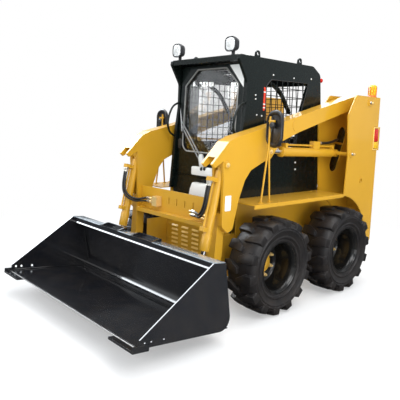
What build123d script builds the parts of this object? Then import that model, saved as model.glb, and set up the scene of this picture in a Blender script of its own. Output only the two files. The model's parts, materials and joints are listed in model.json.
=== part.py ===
from build123d import *
import math
import os

# Skid steer loader. X forward, Y to the machine's left, Z up, in millimetres.
# While the pieces are drawn, X = 0 is midway between the axles and Z = 0 is the ground.
# They are exported with X = 0 in the middle of the whole length.

# Wheels
wheelbase = 1000
tyre_radius = 415
tyre_width = 296
lug_height = 26
lug_drop = 60
shoulder_drop = 72
shoulder_inset = 14
lug_width = 108
lug_root = 60
lug_slant = 34
lugs_per_side = 14
wheel_track = 1492
rim_radius = 209
rim_flange_radius = 226
rim_flange = 8
rim_wall = 9
rim_seat_width = 236
rim_disc = 14
rim_disc_inset = 46
hub_radius = 88
hub_length = 62
axle_radius = 62
seat_gap = 0.3

# Chassis
chassis_width = 920
chassis_plate = 12
chassis_bottom = 250
chassis_front = 660
chassis_rear = -1083
case_width = 160
case_top = 620
front_plate_top = 640
ledge_height = 950
ledge_plate = 8
ledge_lip = 34
ledge_front = 750
ledge_rear = -560
engine_size = (420, 480, 560)
engine_x = -860
bay_rear = -1050
firewall = -640
hood_front = -562
rear_door_thick = 30

# Towers that carry the arms
tower_width = 1540
tower_plate = 12
tower_rear = -1143
tower_lean = 42
cap_length = 90
tower_top = 1905
tower_bottom = 413
tower_slot = ((-800, 1205), (-920, 1525))
tower_slot_radius = 72
tie_hole = (-851, 1071)
tie_hole_radius = 17
tie_boss = 6
guard_plate = 5
guard_gap = 4
tower_inner_face = 460
arch_radius = 520
pivot = (-899, 1844)
lift_base = (-630, 1337)

# Arms
arm_inner = 510
arm_outer = 640
leg_outer = 588
lift_eye = (438, 1367)
tilt_top = (954, 1269)
bucket_pivot = (1060, 235)
tilt_eye = (1145, 440)
cross_plate = 12

# Hydraulic cylinders
lift_bore = 42
lift_rod = 24
lift_barrel_length = 860
tilt_bore = 36
tilt_rod = 20
tilt_barrel_length = 600
pin_radius = 19
eye_radius = 36
eye_width = 62
fork_gap = 70
tilt_fork_gap = 80
tilt_eye_width = 76
side_gap = 2
pin_gap = 0.06
pipe_radius = 9
pipe_gap = 12
port_width = 50
port_size = 34
hose_radius = 10
lift_hose_radius = 13
coupler_x = 975
elbow_x = 962

# Bucket, drawn flat from its lower rear corner and then tipped back
bucket_width = 2004
bucket_floor = 830
side_hole_radius = 10
side_holes = (786, 735, 633)
side_hole_height = 41
bit_width = 265
bit_reach = 50
bit_thick = 16
bit_outset = 14
hook_rise = 26
hook_plate = 12
hooks = ((-508, -215), (-19, 278))
bucket_plate = 10
bucket_corner = (1211, 104)
bucket_curl = 6.2
bucket_heel_radius = 90
bucket_lip_height = 57
bucket_top_rear = (138, 505)
bucket_top_front = (256, 508)
attach_plate = 12
attach_margin = 14
ear = 12

# Cab
cab_width = 908
cab_wall = 30
cab_top = 2160
cab_roof = 30
roof_rear = -462
visor_depth = 46
visor_tip = 668
eye_xs = (400, -200)
eye_y = 400
lifting_hole = 14
lifting_plate = 14
lifting_rise = 62
door_bottom = 1092
door_frame = 34
door_thick = 28
glass = 6
glass_low = 1312
glass_half = 345
glass_shoulder = 1930
glass_crown = 185
glass_corner = 90
wire = 6
seat_height = 900
door_foot_x = 570
door_lean = 0.045
hinge_pin = 8
hinge_reach = 18
door_gap = 6
door_top = cab_top - visor_depth - door_gap

# Lamps and mirrors
lamp_low = 1380
lamp_high = 1600
lamp_depth = 46
lamp_width = 80
mirror_length = 310
mirror_width = 165
mirror_depth = 34
mirror_x = 530
mirror_z = 1560
mirror_gap = 22
mirror_rod = 9
work_lamp = 112

wheel_centre_y = wheel_track / 2
curl = math.radians(bucket_curl)
bucket_tip = bucket_floor + bit_reach
front_reach = bucket_corner[0] + bucket_tip * math.cos(curl) + bit_thick * math.sin(curl)
lean_per_height = tower_lean / (tower_top - tower_bottom)
rear_reach = tower_rear + lean_per_height * (lamp_low - tower_bottom) - lamp_depth
middle = (front_reach + rear_reach) / 2


def block(x, y, z):
    """A box between the lows and highs of three pairs."""
    size = [abs(b - a) for a, b in (x, y, z)]
    centre = [(a + b) / 2 for a, b in (x, y, z)]
    return Pos(*centre) * Box(*size)


def plate(outline, y_low, y_high):
    """A plate that stands lengthwise, from rows of x, z and corner radius."""
    points = [(x, z) for x, z, _ in outline]
    radii = [r for _, _, r in outline]
    edge = FilletPolyline(*points, radius=radii, close=True)
    side = Plane((0, y_high, 0), x_dir=(1, 0, 0), z_dir=(0, -1, 0))
    return extrude(side * make_face(edge), y_high - y_low)


def across(x, z, radius, y_low, y_high):
    """A round bar across the machine."""
    return Pos(x, (y_low + y_high) / 2, z) * Rot(90, 0, 0) * Cylinder(radius, y_high - y_low)


def bar(start, end, radius):
    """A round bar between two points."""
    a, b = Vector(*start), Vector(*end)
    return Plane(a, z_dir=b - a) * Cylinder(
        radius, (b - a).length, align=(Align.CENTER, Align.CENTER, Align.MIN)
    )


def tube(route, radius):
    """A bent round tube: straight runs joined by arcs as large as the runs allow."""
    points = [Vector(*p) for p in route]
    runs = [b - a for a, b in zip(points, points[1:])]
    radii = []
    for run, after in zip(runs, runs[1:]):
        half_turn = math.radians(run.get_angle(after)) / 2
        radii.append(0.45 * min(run.length, after.length) / math.tan(half_turn))
    print("bend radii", [round(r) for r in radii])
    path = FilletPolyline(*points, radius=radii)
    return sweep(Plane(path @ 0, z_dir=path % 0) * Circle(radius), path=path)


def left_right(shape):
    return [shape, mirror(shape, about=Plane.XZ)]


def save(name, *solids):
    """One file for one sub-part, with all its solids in place."""
    pieces = []
    for shape in solids:
        pieces += (Pos(-middle, 0, 0) * shape).solids()
    whole = pieces[0] if len(pieces) == 1 else Compound(pieces)
    export_step(whole, f"parts/{name}.step")


os.makedirs("parts", exist_ok=True)


# Wheels, drawn about the wheel's own centre with +Y outwards

sides = 2 * lugs_per_side


def faceted(section):
    """A many-sided wheel body from the corners v, radius of its section, in flat faces."""
    rings = []
    for v, radius in section:
        turns = [2 * math.pi * i / sides for i in range(sides)]
        rings.append([Vector(radius * math.cos(t), v, radius * math.sin(t)) for t in turns])
    faces = []
    for near, far in zip(rings, rings[1:] + rings[:1]):
        for i in range(sides):
            j = (i + 1) % sides
            faces.append(Face(Wire.make_polygon([near[i], near[j], far[j], far[i]])))
    return Solid(Shell(faces))


def tyre():
    half = tyre_width / 2
    base = tyre_radius - lug_height
    seat = rim_seat_width / 2
    bore = rim_radius + seat_gap
    profile = [
        # v, radius
        (-seat, bore),
        (-seat, rim_flange_radius),
        (-half, base - shoulder_drop),
        (-half + shoulder_inset, base),
        (half - shoulder_inset, base),
        (half, base - shoulder_drop),
        (seat, rim_flange_radius),
        (seat, bore),
    ]
    lugs = []
    for i in range(sides):
        hand = 1 if i % 2 else -1
        lugs.append(Rot(0, 360 / sides * (i + 0.5), 0) * lug(hand))
    return faceted(profile).fuse(*lugs)


def lug(hand):
    """A bent bar from near the middle line over the shoulder, at the wheel's top."""
    half = tyre_width / 2
    w = lug_width / 2
    root = lug_root / 2
    foot = [
        (-root + lug_slant, -hand * 8),
        (root + lug_slant, -hand * 8),
        (w, hand * half * 0.55),
        (w - 6, hand * half),
        (-w + 6, hand * half),
        (-w, hand * half * 0.55),
    ]
    face = make_face(Polyline(*foot, close=True))
    top = math.sqrt(tyre_radius**2 - (root + lug_slant) ** 2)
    low = tyre_radius - lug_height - lug_drop
    return extrude(Pos(0, 0, low) * face, top - low)


def rim():
    outer = rim_seat_width / 2 + rim_flange + seat_gap
    lip = outer - rim_flange
    inner = rim_radius - rim_wall
    disc = -rim_disc_inset
    profile = [
        # v, radius
        (-outer, inner),
        (-outer, rim_flange_radius),
        (-lip, rim_flange_radius),
        (-lip, rim_radius),
        (lip, rim_radius),
        (lip, rim_flange_radius),
        (outer, rim_flange_radius),
        (outer, inner),
        (disc, inner),
        (disc, hub_radius),
        (disc - rim_disc, hub_radius),
        (disc - rim_disc, inner),
    ]
    hub = Pos(0, disc - rim_disc + hub_length / 2, 0) * Rot(90, 0, 0) * Cylinder(hub_radius + 1, hub_length)
    return faceted(profile) + hub


tyre_solid = tyre()
rim_solid = rim()
axle_height = -tyre_solid.bounding_box().min.Z
for end, x in (("front", wheelbase / 2), ("rear", -wheelbase / 2)):
    for side, hand in (("left", 1), ("right", -1)):
        turn = Rot(0, 0, 0 if hand == 1 else 180)
        place = Pos(x, hand * wheel_centre_y, axle_height) * turn
        save(f"tyre_{end}_{side}", place * tyre_solid)
        save(f"rim_{end}_{side}", place * rim_solid)

axle_end = wheel_centre_y - rim_disc_inset - rim_disc - seat_gap
housings = []
for x in (wheelbase / 2, -wheelbase / 2):
    housings += left_right(across(x, axle_height, axle_radius, chassis_width / 2, axle_end))
save("axle_housings", *housings)


# Chassis: chain cases, belly, front plate and the walls of the engine bay

half = chassis_width / 2


def chassis():
    inner = half - chassis_plate
    belly = (chassis_bottom, chassis_bottom + chassis_plate)
    nose = (chassis_front - chassis_plate, chassis_front)
    body = block((chassis_rear, chassis_front), (-half, half), belly)
    body += block(nose, (-half, half), (chassis_bottom, front_plate_top))
    for hand in (1, -1):
        case = (hand * (half - case_width), hand * half)
        wall = (hand * inner, hand * half)
        body += block((bay_rear + 330, chassis_front), case, (chassis_bottom, case_top))
        body += block((chassis_rear, chassis_front - 30), wall, (chassis_bottom, ledge_height))
    between_cases = (case_width - half, half - case_width)
    body += block((firewall, chassis_front), between_cases, (case_top - chassis_plate, case_top))
    body += block((firewall, firewall + chassis_plate), (-half, half), (chassis_bottom, ledge_height))
    for column in range(3):
        for row in range(6):
            y = -330 + column * 150
            z = 360 + row * 42
            slot = (y - 45, y + 45)
            body -= block((chassis_front - 2 * chassis_plate, chassis_front + 1), slot, (z, z + 10))
    return body


save("chassis", chassis())
length, width, height = engine_size
save("engine", Pos(engine_x, 0, chassis_bottom + chassis_plate + height / 2) * Box(length, width, height))


def ledge():
    edge = [
        (ledge_rear, ledge_height, 0),
        (ledge_front, ledge_height, 0),
        (ledge_front, ledge_height - ledge_plate, 0),
        (ledge_rear, ledge_height - ledge_plate, 0),
    ]
    outer = tower_width / 2
    top = plate(edge, half, outer)
    lip = block(
        (ledge_rear, ledge_front), (outer - ledge_plate, outer), (ledge_height - ledge_lip, ledge_height)
    )
    return top + lip


save("side_ledges", *left_right(ledge()))


# Towers

def tower_back(z):
    """X of the towers' leaning rear face at height z."""
    return tower_rear + lean_per_height * (z - tower_bottom)


def slot_cut(low, high, radius, y_low, y_high):
    """A slot with round ends about two points."""
    dx, dz = high[0] - low[0], high[1] - low[1]
    length = math.hypot(dx, dz)
    centre = ((low[0] + high[0]) / 2, y_high, (low[1] + high[1]) / 2)
    along = Plane(centre, x_dir=(dx, 0, dz), z_dir=(0, -1, 0))
    return extrude(along * SlotCenterToCenter(length, 2 * radius), y_high - y_low)


def lamp_guard():
    """A tray round the tail lamp: a ledge under it, one over it and a strip along its outer side."""
    outer = tower_width / 2
    low, high = lamp_low - guard_gap, lamp_high + guard_gap
    reach = lamp_depth - 6
    outline = [
        (tower_back(low - guard_plate) + 1, low - guard_plate, 0),
        (tower_back(high + guard_plate) + 1, high + guard_plate, 0),
        (tower_back(high + guard_plate) - reach, high + guard_plate, 0),
        (tower_back(low - guard_plate) - reach, low - guard_plate, 0),
    ]
    opening = [
        (tower_back(low) + 2, low, 0),
        (tower_back(high) + 2, high, 0),
        (tower_back(high) - reach - 1, high, 0),
        (tower_back(low) - reach - 1, low, 0),
    ]
    inner = outer - lamp_width - guard_plate - 2 * guard_gap
    return plate(outline, inner, outer) - plate(opening, inner - 1, outer - guard_plate)


def tower():
    outer = tower_width / 2
    arch = (-wheelbase / 2, axle_height)
    edge = [
        (tower_rear, tower_bottom, 0),
        (tower_rear + tower_lean, tower_top, 0),
        (-640, tower_top, 40),
        (-523, 1704, 60),
        (-575, 1300, 60),
        (ledge_rear, ledge_height - ledge_lip, 0),
        (-700, 700, 0),
        (-900, tower_bottom, 0),
    ]
    wall = plate(edge, outer - tower_plate, outer)
    wall -= across(*arch, arch_radius, outer - 2 * tower_plate, outer + 1)
    inner_edge = [
        (tower_rear, tower_bottom, 0),
        (tower_rear + tower_lean, tower_top, 0),
        (-640, tower_top, 40),
        (-470, 1680, 60),
        (ledge_rear, ledge_height, 0),
        (ledge_rear, ledge_height - ledge_plate, 0),
        (-900, tower_bottom, 0),
    ]
    inner = plate(inner_edge, tower_inner_face, tower_inner_face + tower_plate)
    inner_wall = (tower_inner_face - 1, tower_inner_face + tower_plate + 1)
    inner -= across(*arch, arch_radius - 40, *inner_wall)
    inner -= slot_cut(*tower_slot, tower_slot_radius, *inner_wall)
    back_edge = [
        (tower_rear, tower_bottom, 0),
        (tower_rear + tower_lean, tower_top, 0),
        (tower_rear + tower_lean + cap_length, tower_top, 0),
        (tower_rear + tower_lean + cap_length, tower_top - tower_plate, 0),
        (tower_rear + tower_lean + tower_plate, tower_top - tower_plate, 0),
        (tower_rear + tower_plate, tower_bottom, 0),
    ]
    back = plate(back_edge, tower_inner_face, outer)
    shape = wall + inner + back
    for x, z in (pivot, lift_base):
        shape += across(x, z, pin_radius + 14, outer, outer + 8)
        shape += across(x, z, pin_radius, tower_inner_face, outer + 12)
        shape += block((x - 46, x - pin_radius + 8), (outer, outer + 12), (z - 9, z + 9))
    shape += across(*tie_hole, tie_hole_radius + 11, outer - 1, outer + tie_boss)
    shape -= across(*tie_hole, tie_hole_radius, outer - tower_plate - 1, outer + tie_boss + 1)
    return shape + lamp_guard()


save("towers", *left_right(tower()))

inner_tower = tower_inner_face
bumper_z = (chassis_bottom + 10, tower_bottom)
bumper = block((tower_rear - 6, chassis_rear), (-inner_tower, inner_tower), bumper_z)
bumper += Pos(
    tower_rear + rear_door_thick / 2, inner_tower - door_gap - rear_door_thick / 2, tower_bottom
) * Cylinder(hinge_pin, 2 * (door_gap + hinge_reach))
save("rear_bumper", bumper)


hood_edge = [
    (tower_rear, 1386, 0),
    (tower_rear, 1410, 0),
    (hood_front - 20, 1470, 0),
    (hood_front, 1470, 0),
    (hood_front, 1300, 0),
    (hood_front - 12, 1300, 0),
    (hood_front - 12, 1450, 0),
]


def rear_door():
    """A slab with round sides, slotted, that turns on pins in its left side."""
    half_width = inner_tower - door_gap
    low, high = tower_bottom + door_gap, hood_edge[0][1] - door_gap
    r = rear_door_thick / 2
    x = tower_rear + r
    middle_z, height = (low + high) / 2, high - low
    door = extrude(Pos(x, 0, low) * Rot(0, 0, 90) * SlotOverall(2 * half_width, rear_door_thick), height)
    for row in range(8):
        z = 620 + row * 70
        door -= block((tower_rear - 1, tower_rear + rear_door_thick + 1), (-330, 330), (z, z + 34))
    door -= Pos(x, half_width - r, middle_z) * Cylinder(hinge_pin + pin_gap, height + 1)
    return door


save("rear_door", rear_door())
pin_x = tower_rear + rear_door_thick / 2
pin_y = inner_tower - door_gap - rear_door_thick / 2
hood_pin = Pos(pin_x, pin_y, hood_edge[0][1]) * Cylinder(hinge_pin, 2 * (door_gap + hinge_reach))
hood = plate(hood_edge, -inner_tower, inner_tower) + hood_pin
for y_low, y_high in ((-320, -90), (90, 320)):
    for row in range(6):
        x = -1040 + row * 48
        hood -= block((x, x + 16), (y_low, y_high), (1380, 1480))
save("hood", hood)


# Arms

def arm():
    edge = [
        (-974, 1900, 60),
        (-834, 1907, 20),
        (324, 1613, 30),
        (845, 1491, 60),
        (945, 1450, 30),
        (1118, 1278, 0),
        (1088, 1250, 0),
        (1000, 1300, 0),
        (990, 1158, 30),
        (987, 776, 30),
        (920, 715, 30),
        (862, 745, 30),
        (808, 974, 40),
        (743, 1137, 60),
        (674, 1218, 60),
        (511, 1287, 30),
        (445, 1295, 30),
        (400, 1340, 30),
        (308, 1448, 40),
        (51, 1538, 0),
        (-751, 1759, 30),
        (-974, 1790, 60),
    ]
    beam = plate(edge, arm_inner, arm_outer)
    leg_edge = [
        (905, 860, 0),
        (982, 860, 0),
        (1006, 520, 0),
        (1040, 310, 30),
        (1112, 250, 40),
        (1090, 182, 40),
        (1010, 200, 40),
        (920, 520, 0),
    ]
    leg = plate(leg_edge, arm_inner, leg_outer)
    middle_y = (arm_inner + arm_outer) / 2
    lift_gap = (middle_y - fork_gap / 2, middle_y + fork_gap / 2)
    tilt_gap = (middle_y - tilt_fork_gap / 2, middle_y + tilt_fork_gap / 2)
    beam -= block((150, 600), lift_gap, (1270, 1450))
    beam -= block((895, 1140), tilt_gap, (880, 1330))
    leg -= across(*bucket_pivot, pin_radius + pin_gap, arm_inner, leg_outer)
    shape = beam + leg
    for x, z in (lift_eye, tilt_top):
        shape += across(x, z, pin_radius + 12, arm_outer, arm_outer + 8)
    shape += across(*tilt_top, pin_radius, arm_inner, arm_outer)
    shape += across(*pivot, pin_radius + 36, tower_inner_face + tower_plate + side_gap, arm_inner)
    shape -= across(*pivot, pin_radius + pin_gap, tower_inner_face, arm_outer + 1)
    return shape


save("arms", *left_right(arm()))


def cross_member():
    edge = [
        (930, 975, 0),
        (930 + cross_plate, 975, 0),
        (930 + cross_plate, 772, 0),
        (1005, 772, 0),
        (1005, 735, 0),
        (993, 735, 0),
        (993, 760, 0),
        (930, 760, 0),
    ]
    shape = plate(edge, -arm_inner, arm_inner)
    for i in range(4):
        y = -90 + i * 110
        shape -= block((920, 950), (y - 5, y + 5), (850, 910))
    for y in (-arm_inner + 46, arm_inner - 46 - cross_plate):
        shape += block((930, 1000), (y, y + cross_plate), (760, 786))
    return shape


save("cross_member", cross_member())


# Cylinders

arm_middle = (arm_inner + arm_outer) / 2


def beside(base, eye, distance, out, y=arm_middle):
    """A point beside a cylinder's axis: so far along it from its base, and so far above or in front."""
    dx, dz = eye[0] - base[0], eye[1] - base[1]
    length = math.hypot(dx, dz)
    ux, uz = dx / length, dz / length
    return (base[0] + ux * distance - uz * out, y, base[1] + uz * distance + ux * out)


def cylinder_pair(name, base, eye, bore, rod, barrel_length, base_width, ports):
    """A barrel hinged at base and a rod that reaches eye, both in the arm's middle plane."""
    y = arm_middle
    length = math.dist(base, eye)
    along = Vector(*beside(base, eye, 1, 0)) - Vector(*beside(base, eye, 0, 0))

    def at(distance, out=0):
        return beside(base, eye, distance, out)

    half_eye = eye_width / 2
    barrel = bar(at(eye_radius + 16), at(barrel_length), bore)
    barrel += bar(at(eye_radius - 8), at(eye_radius + 20), bore * 0.7)
    half_base = base_width / 2
    barrel += across(*base, eye_radius, y - half_base, y + half_base)
    barrel -= bar(at(eye_radius + 40), at(barrel_length + 1), rod + 0.1)
    barrel -= across(*base, pin_radius + pin_gap, y - half_base, y + half_base)
    for distance, port_length, top in ports:
        low = bore * 0.8
        centre = at(distance, (low + top) / 2)
        barrel += Plane(centre, x_dir=along, z_dir=(0, 1, 0)) * Box(port_length, top - low, port_width)
    pipe_out = bore + pipe_gap + pipe_radius
    barrel += bar(at(ports[0][0], pipe_out), at(ports[-1][0], pipe_out), pipe_radius)
    piston_rod = bar(at(barrel_length - 60), at(length - eye_radius + 8), rod)
    piston_rod += across(*eye, eye_radius, y - half_eye, y + half_eye)
    save(f"{name}_barrels_left", barrel)
    save(f"{name}_barrels_right", mirror(barrel, about=Plane.XZ))
    save(f"{name}_rods_left", piston_rod)
    save(f"{name}_rods_right", mirror(piston_rod, about=Plane.XZ))


lift_ports = (
    # distance along the barrel, length, top above the axis
    (60, port_size, 78),
    (340, 104, 106),
    (800, port_size, 78),
)
tilt_ports = (
    (132, port_size, 110),
    (530, port_size, 74),
)
cylinder_pair(
    "lift", lift_base, lift_eye, lift_bore, lift_rod, lift_barrel_length, eye_width, lift_ports
)
cylinder_pair(
    "tilt", tilt_top, tilt_eye, tilt_bore, tilt_rod, tilt_barrel_length, tilt_eye_width, tilt_ports
)


# Hoses, each from the face of its port, and the fittings that take the far ends

tilt_start = tilt_ports[0][0] + port_size / 2
tilt_out = 94
lift_start = lift_ports[1][0] - lift_ports[1][1] / 2
lift_out = 90


def tilt_route(hand, y, after):
    """A tilt hose leaves its port along the barrel, then follows points chosen by hand."""
    start = beside(tilt_top, tilt_eye, tilt_start, tilt_out, hand * y)
    second = beside(tilt_top, tilt_eye, tilt_start + 100, tilt_out, hand * y)
    return [start, second] + after


right_hoses = (
    tilt_route(-1, 587.5, [
        (1115, -577, 944),
        (1109, -553, 889),
        (1080, -515, 850),
        (1038, -472, 833),
        (996, -429, 839),
        (coupler_x, -380, 844),
        (coupler_x, -330, 844),
    ]),
    tilt_route(-1, 562.5, [
        (1112, -552, 950),
        (1100, -531, 901),
        (1071, -494, 866),
        (1030, -455, 852),
        (992, -418, 864),
        (coupler_x, -376, 874),
        (coupler_x, -330, 874),
    ]),
)
left_hoses = (
    tilt_route(1, 587.5, [
        (1113, 577, 944),
        (1113, 552, 889),
        (1101, 509, 849),
        (1074, 457, 831),
        (1052, 402, 836),
        (1052, 352, 836),
    ]),
    tilt_route(1, 562.5, [
        (1110, 552, 951),
        (1108, 528, 900),
        (1095, 489, 865),
        (1068, 441, 852),
        (1046, 394, 862),
        (1046, 344, 862),
    ]),
)
save("tilt_hoses_right", *[tube(route, hose_radius) for route in right_hoses])
save("tilt_hoses_left", *[tube(route, hose_radius) for route in left_hoses])
lift_route = [
    beside(lift_base, lift_eye, lift_start, lift_out),
    beside(lift_base, lift_eye, lift_start - 110, lift_out),
    beside(lift_base, lift_eye, lift_start - 230, lift_out + 14, arm_middle - 8),
    beside(lift_base, lift_eye, lift_start - 350, lift_out + 34, arm_middle - 36),
    beside(lift_base, lift_eye, lift_start - 450, lift_out + 46, arm_middle - 76),
]
lift_hose = tube(lift_route, lift_hose_radius)
save("lift_hoses_left", lift_hose)
save("lift_hoses_right", mirror(lift_hose, about=Plane.XZ))

coupler_low, coupler_high = 815, 905
plate_front = 930 + cross_plate
fittings = [block((plate_front, 1000), (-270, -200), (coupler_low, coupler_high))]
for z in (844, 874):
    fittings[0] += Pos(coupler_x, -300, z) * Rot(90, 0, 0) * Cylinder(14, 60)
elbows = (
    [
        (1052, 352, 836),
        (1052, 322, 836),
        (1018, 304, 820),
        (elbow_x + 12, 336, 804),
        (elbow_x, 392, 800),
        (elbow_x, arm_inner, 800),
    ],
    [
        (1046, 344, 862),
        (1046, 306, 862),
        (1012, 278, 850),
        (elbow_x + 14, 310, 832),
        (elbow_x, 372, 828),
        (elbow_x, arm_inner, 828),
    ],
)
fittings += [tube(route, pipe_radius) for route in elbows]
save("hose_fittings", *fittings)


# Bucket

def tipped(shape):
    """Moves a shape from the bucket's flat frame to its place."""
    return Pos(bucket_corner[0], 0, bucket_corner[1]) * Rot(0, -bucket_curl, 0) * shape


def bucket():
    w = bucket_width / 2
    t = bucket_plate
    rear_x, rear_z = bucket_top_rear
    front_x, front_z = bucket_top_front
    side_edge = [
        (0, 0, bucket_heel_radius),
        (bucket_floor, 0, 0),
        (bucket_floor - 6, bucket_lip_height, 0),
        (front_x, front_z, 0),
        (rear_x, rear_z, 0),
    ]
    hollow_edge = [
        (t, t, bucket_heel_radius - t),
        (bucket_floor + 50, t, 0),
        (bucket_floor + 50, front_z + 60, 0),
        (front_x - t, front_z + 60, 0),
        (front_x - t, front_z - 40, 0),
        (front_x, front_z - t - 40, 0),
        (rear_x + t, front_z - t - 40, 0),
    ]
    shape = plate(side_edge, -w, w) - plate(hollow_edge, -w + t, w - t)
    bit_rear = bucket_floor - 75
    for hand in (1, -1):
        outer = hand * (w + bit_outset)
        shape += block((bit_rear, bucket_tip), (hand * (w - bit_width), outer), (-bit_thick, 0))
        shape += block((bit_rear, bucket_tip), (hand * w, outer), (-bit_thick, 26))
    flange = (rear_z + front_z) / 2
    hook_x = rear_x + 12
    hook_edge = [
        (hook_x, flange - 6, 0),
        (hook_x, flange + hook_rise, 0),
        (hook_x + 30, flange + hook_rise, 0),
        (hook_x + 88, flange + 6, 0),
        (hook_x + 88, flange - 6, 0),
    ]
    for low, high in hooks:
        shape += block((hook_x, hook_x + hook_plate), (low, high), (flange - 6, flange + hook_rise))
        shape += plate(hook_edge, low, low + hook_plate)
        shape += plate(hook_edge, high - hook_plate, high)
    for x in side_holes:
        shape -= across(x, side_hole_height, side_hole_radius, -w - 1, w + 1)
    return tipped(shape)


save("bucket", bucket())


def behind_bucket(z):
    """X just inside the rear face of the attach plate at height z."""
    lean = bucket_top_rear[0] / bucket_top_rear[1]
    slope = (lean * math.cos(curl) - math.sin(curl)) / (lean * math.sin(curl) + math.cos(curl))
    return bucket_corner[0] + (z - bucket_corner[1]) * slope - attach_plate / 2


def attach():
    """The plate that carries the bucket, with four ears for the pins."""
    w = arm_outer + ear + attach_margin
    back_x, back_z = bucket_top_rear
    lean = back_x / back_z
    low, high = 40, 430
    face_edge = [
        (low * lean - 0.5, low, 0),
        (high * lean - 0.5, high, 0),
        (high * lean - attach_plate - 0.5, high, 0),
        (low * lean - attach_plate - 0.5, low, 0),
    ]
    shape = tipped(plate(face_edge, -w, w))
    y_mid = arm_middle
    pin_x, pin_z = bucket_pivot
    pin_ear = [
        (pin_x - 34, pin_z, 30),
        (pin_x, pin_z - 38, 30),
        (behind_bucket(pin_z - 70), pin_z - 70, 0),
        (behind_bucket(pin_z + 95), pin_z + 95, 0),
        (pin_x + 24, pin_z + 48, 30),
    ]
    eye_x, eye_z = tilt_eye
    tilt_ear = [
        (behind_bucket(eye_z - 200), eye_z - 200, 0),
        (behind_bucket(eye_z + 42), eye_z + 42, 0),
        (eye_x - 20, eye_z + 40, 34),
        (eye_x - 42, eye_z - 30, 24),
    ]
    ears = (
        # outline, inner face
        (pin_ear, arm_inner - side_gap - ear),
        (pin_ear, leg_outer + side_gap),
        (tilt_ear, y_mid - eye_width / 2 - side_gap - ear),
        (tilt_ear, y_mid + eye_width / 2 + side_gap),
    )
    for outline, y in ears:
        for piece in left_right(plate(outline, y, y + ear)):
            shape += piece
    inner, outer = arm_inner - side_gap - ear, leg_outer + side_gap + ear
    for piece in left_right(across(*bucket_pivot, pin_radius, inner, outer)):
        shape += piece
    for y in (y_mid - eye_width / 2 - side_gap - ear - 6, y_mid + eye_width / 2 + side_gap + ear):
        for piece in left_right(across(*tilt_eye, pin_radius, y, y + 6)):
            shape += piece
    return shape


save("attach_plate", attach())


# Cab

def cab_side():
    edge = [
        (652, ledge_height, 0),
        (603, 1507, 60),
        (571, 1730, 60),
        (570, 1949, 60),
        (675, 2122, 12),
        (668, cab_top, 10),
        (-353, cab_top, 80),
        (-478, 2090, 60),
        (-526, 1748, 60),
        (-560, 1300, 0),
        (-560, ledge_height, 0),
    ]
    return plate(edge, cab_width / 2 - cab_wall, cab_width / 2) - side_window(1)


def side_window(margin):
    edge = [
        (322, 1400, 30),
        (322, 1925, 30),
        (261, 1985, 30),
        (-294, 1995, 30),
        (-190, 1696, 60),
        (-150, 1400, 30),
    ]
    return plate(edge, cab_width / 2 - cab_wall - margin, cab_width / 2 + margin)


side = cab_side()
save("cab_sides", *left_right(side))
inside = cab_width / 2 - cab_wall


def screen(x_low, x_high, z_low, z_high, step, y):
    """A welded grid of wire, drawn as square bars in two layers."""
    shape = None
    count_x = round((x_high - x_low) / step)
    count_z = round((z_high - z_low) / step)
    for i in range(count_x + 1):
        x = x_low + (x_high - x_low) * i / count_x
        piece = block((x - wire / 2, x + wire / 2), (y, y + wire), (z_low, z_high))
        shape = piece if shape is None else shape + piece
    for i in range(count_z + 1):
        z = z_low + (z_high - z_low) * i / count_z
        shape += block((x_low, x_high), (y - wire, y + 1), (z - wire / 2, z + wire / 2))
    return shape


grid = screen(-300, 328, 1396, 2000, 78, cab_width / 2 - 10) & side_window(0)
save("side_screens", *left_right(grid))


def door_x(z):
    """The door leans back towards its top."""
    return door_foot_x - (z - door_bottom) * door_lean


def slab(z_low, z_high, offset, thick, y_low, y_high):
    edge = [
        (door_x(z_low) + offset, z_low, 0),
        (door_x(z_low) + offset + thick, z_low, 0),
        (door_x(z_high) + offset + thick, z_high, 0),
        (door_x(z_high) + offset, z_high, 0),
    ]
    return plate(edge, y_low, y_high)


def hinge_point(z):
    return (door_x(z) + door_thick / 2, inside - door_gap - door_thick / 2, z)


def door_pin(z):
    """A pin that the door turns on, half of it inside the piece that carries it."""
    reach = door_gap + hinge_reach
    return bar(hinge_point(z - reach), hinge_point(z + reach), hinge_pin)


roof_edge = [
    (visor_tip, cab_top, 0),
    (visor_tip, cab_top - visor_depth, 0),
    (500, cab_top - visor_depth, 0),
    (484, cab_top - cab_roof, 0),
    (-360, cab_top - cab_roof, 0),
    (roof_rear, cab_top - cab_roof - 60, 0),
    (roof_rear, cab_top - 60, 0),
    (-360, cab_top, 60),
]
roof = plate(roof_edge, -inside, inside) + door_pin(cab_top - visor_depth)
for x in eye_xs:
    eye_edge = [
        (x - 34, cab_top - 2, 0),
        (x + 34, cab_top - 2, 0),
        (x + 24, cab_top + lifting_rise, 22),
        (x - 24, cab_top + lifting_rise, 22),
    ]
    lifting_eye = plate(eye_edge, eye_y - lifting_plate / 2, eye_y + lifting_plate / 2)
    lifting_eye -= across(x, cab_top + 36, lifting_hole, eye_y - lifting_plate, eye_y + lifting_plate)
    for piece in left_right(lifting_eye):
        roof += piece
save("cab_roof", roof)

rear_wall_edge = [
    (-478, 2065, 0),
    (-454, 2065, 0),
    (-500, 1748, 0),
    (-530, 1300, 0),
    (-530, ledge_height + 1, 0),
    (-556, ledge_height + 1, 0),
    (-556, 1300, 0),
    (-526, 1748, 0),
]
rear_wall = plate(rear_wall_edge, -inside, inside)
window_half, window_low, window_high = 330, 1480, 1990
rear_wall -= block((-600, -400), (-window_half, window_half), (window_low, window_high))
knee = 1748


def rear_wire_x(z):
    """X of the rear screen's middle, which leans with the wall."""
    slope = 32 / (knee - 1300) if z < knee else 46 / (2065 - knee)
    return -513 + (z - knee) * slope


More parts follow.
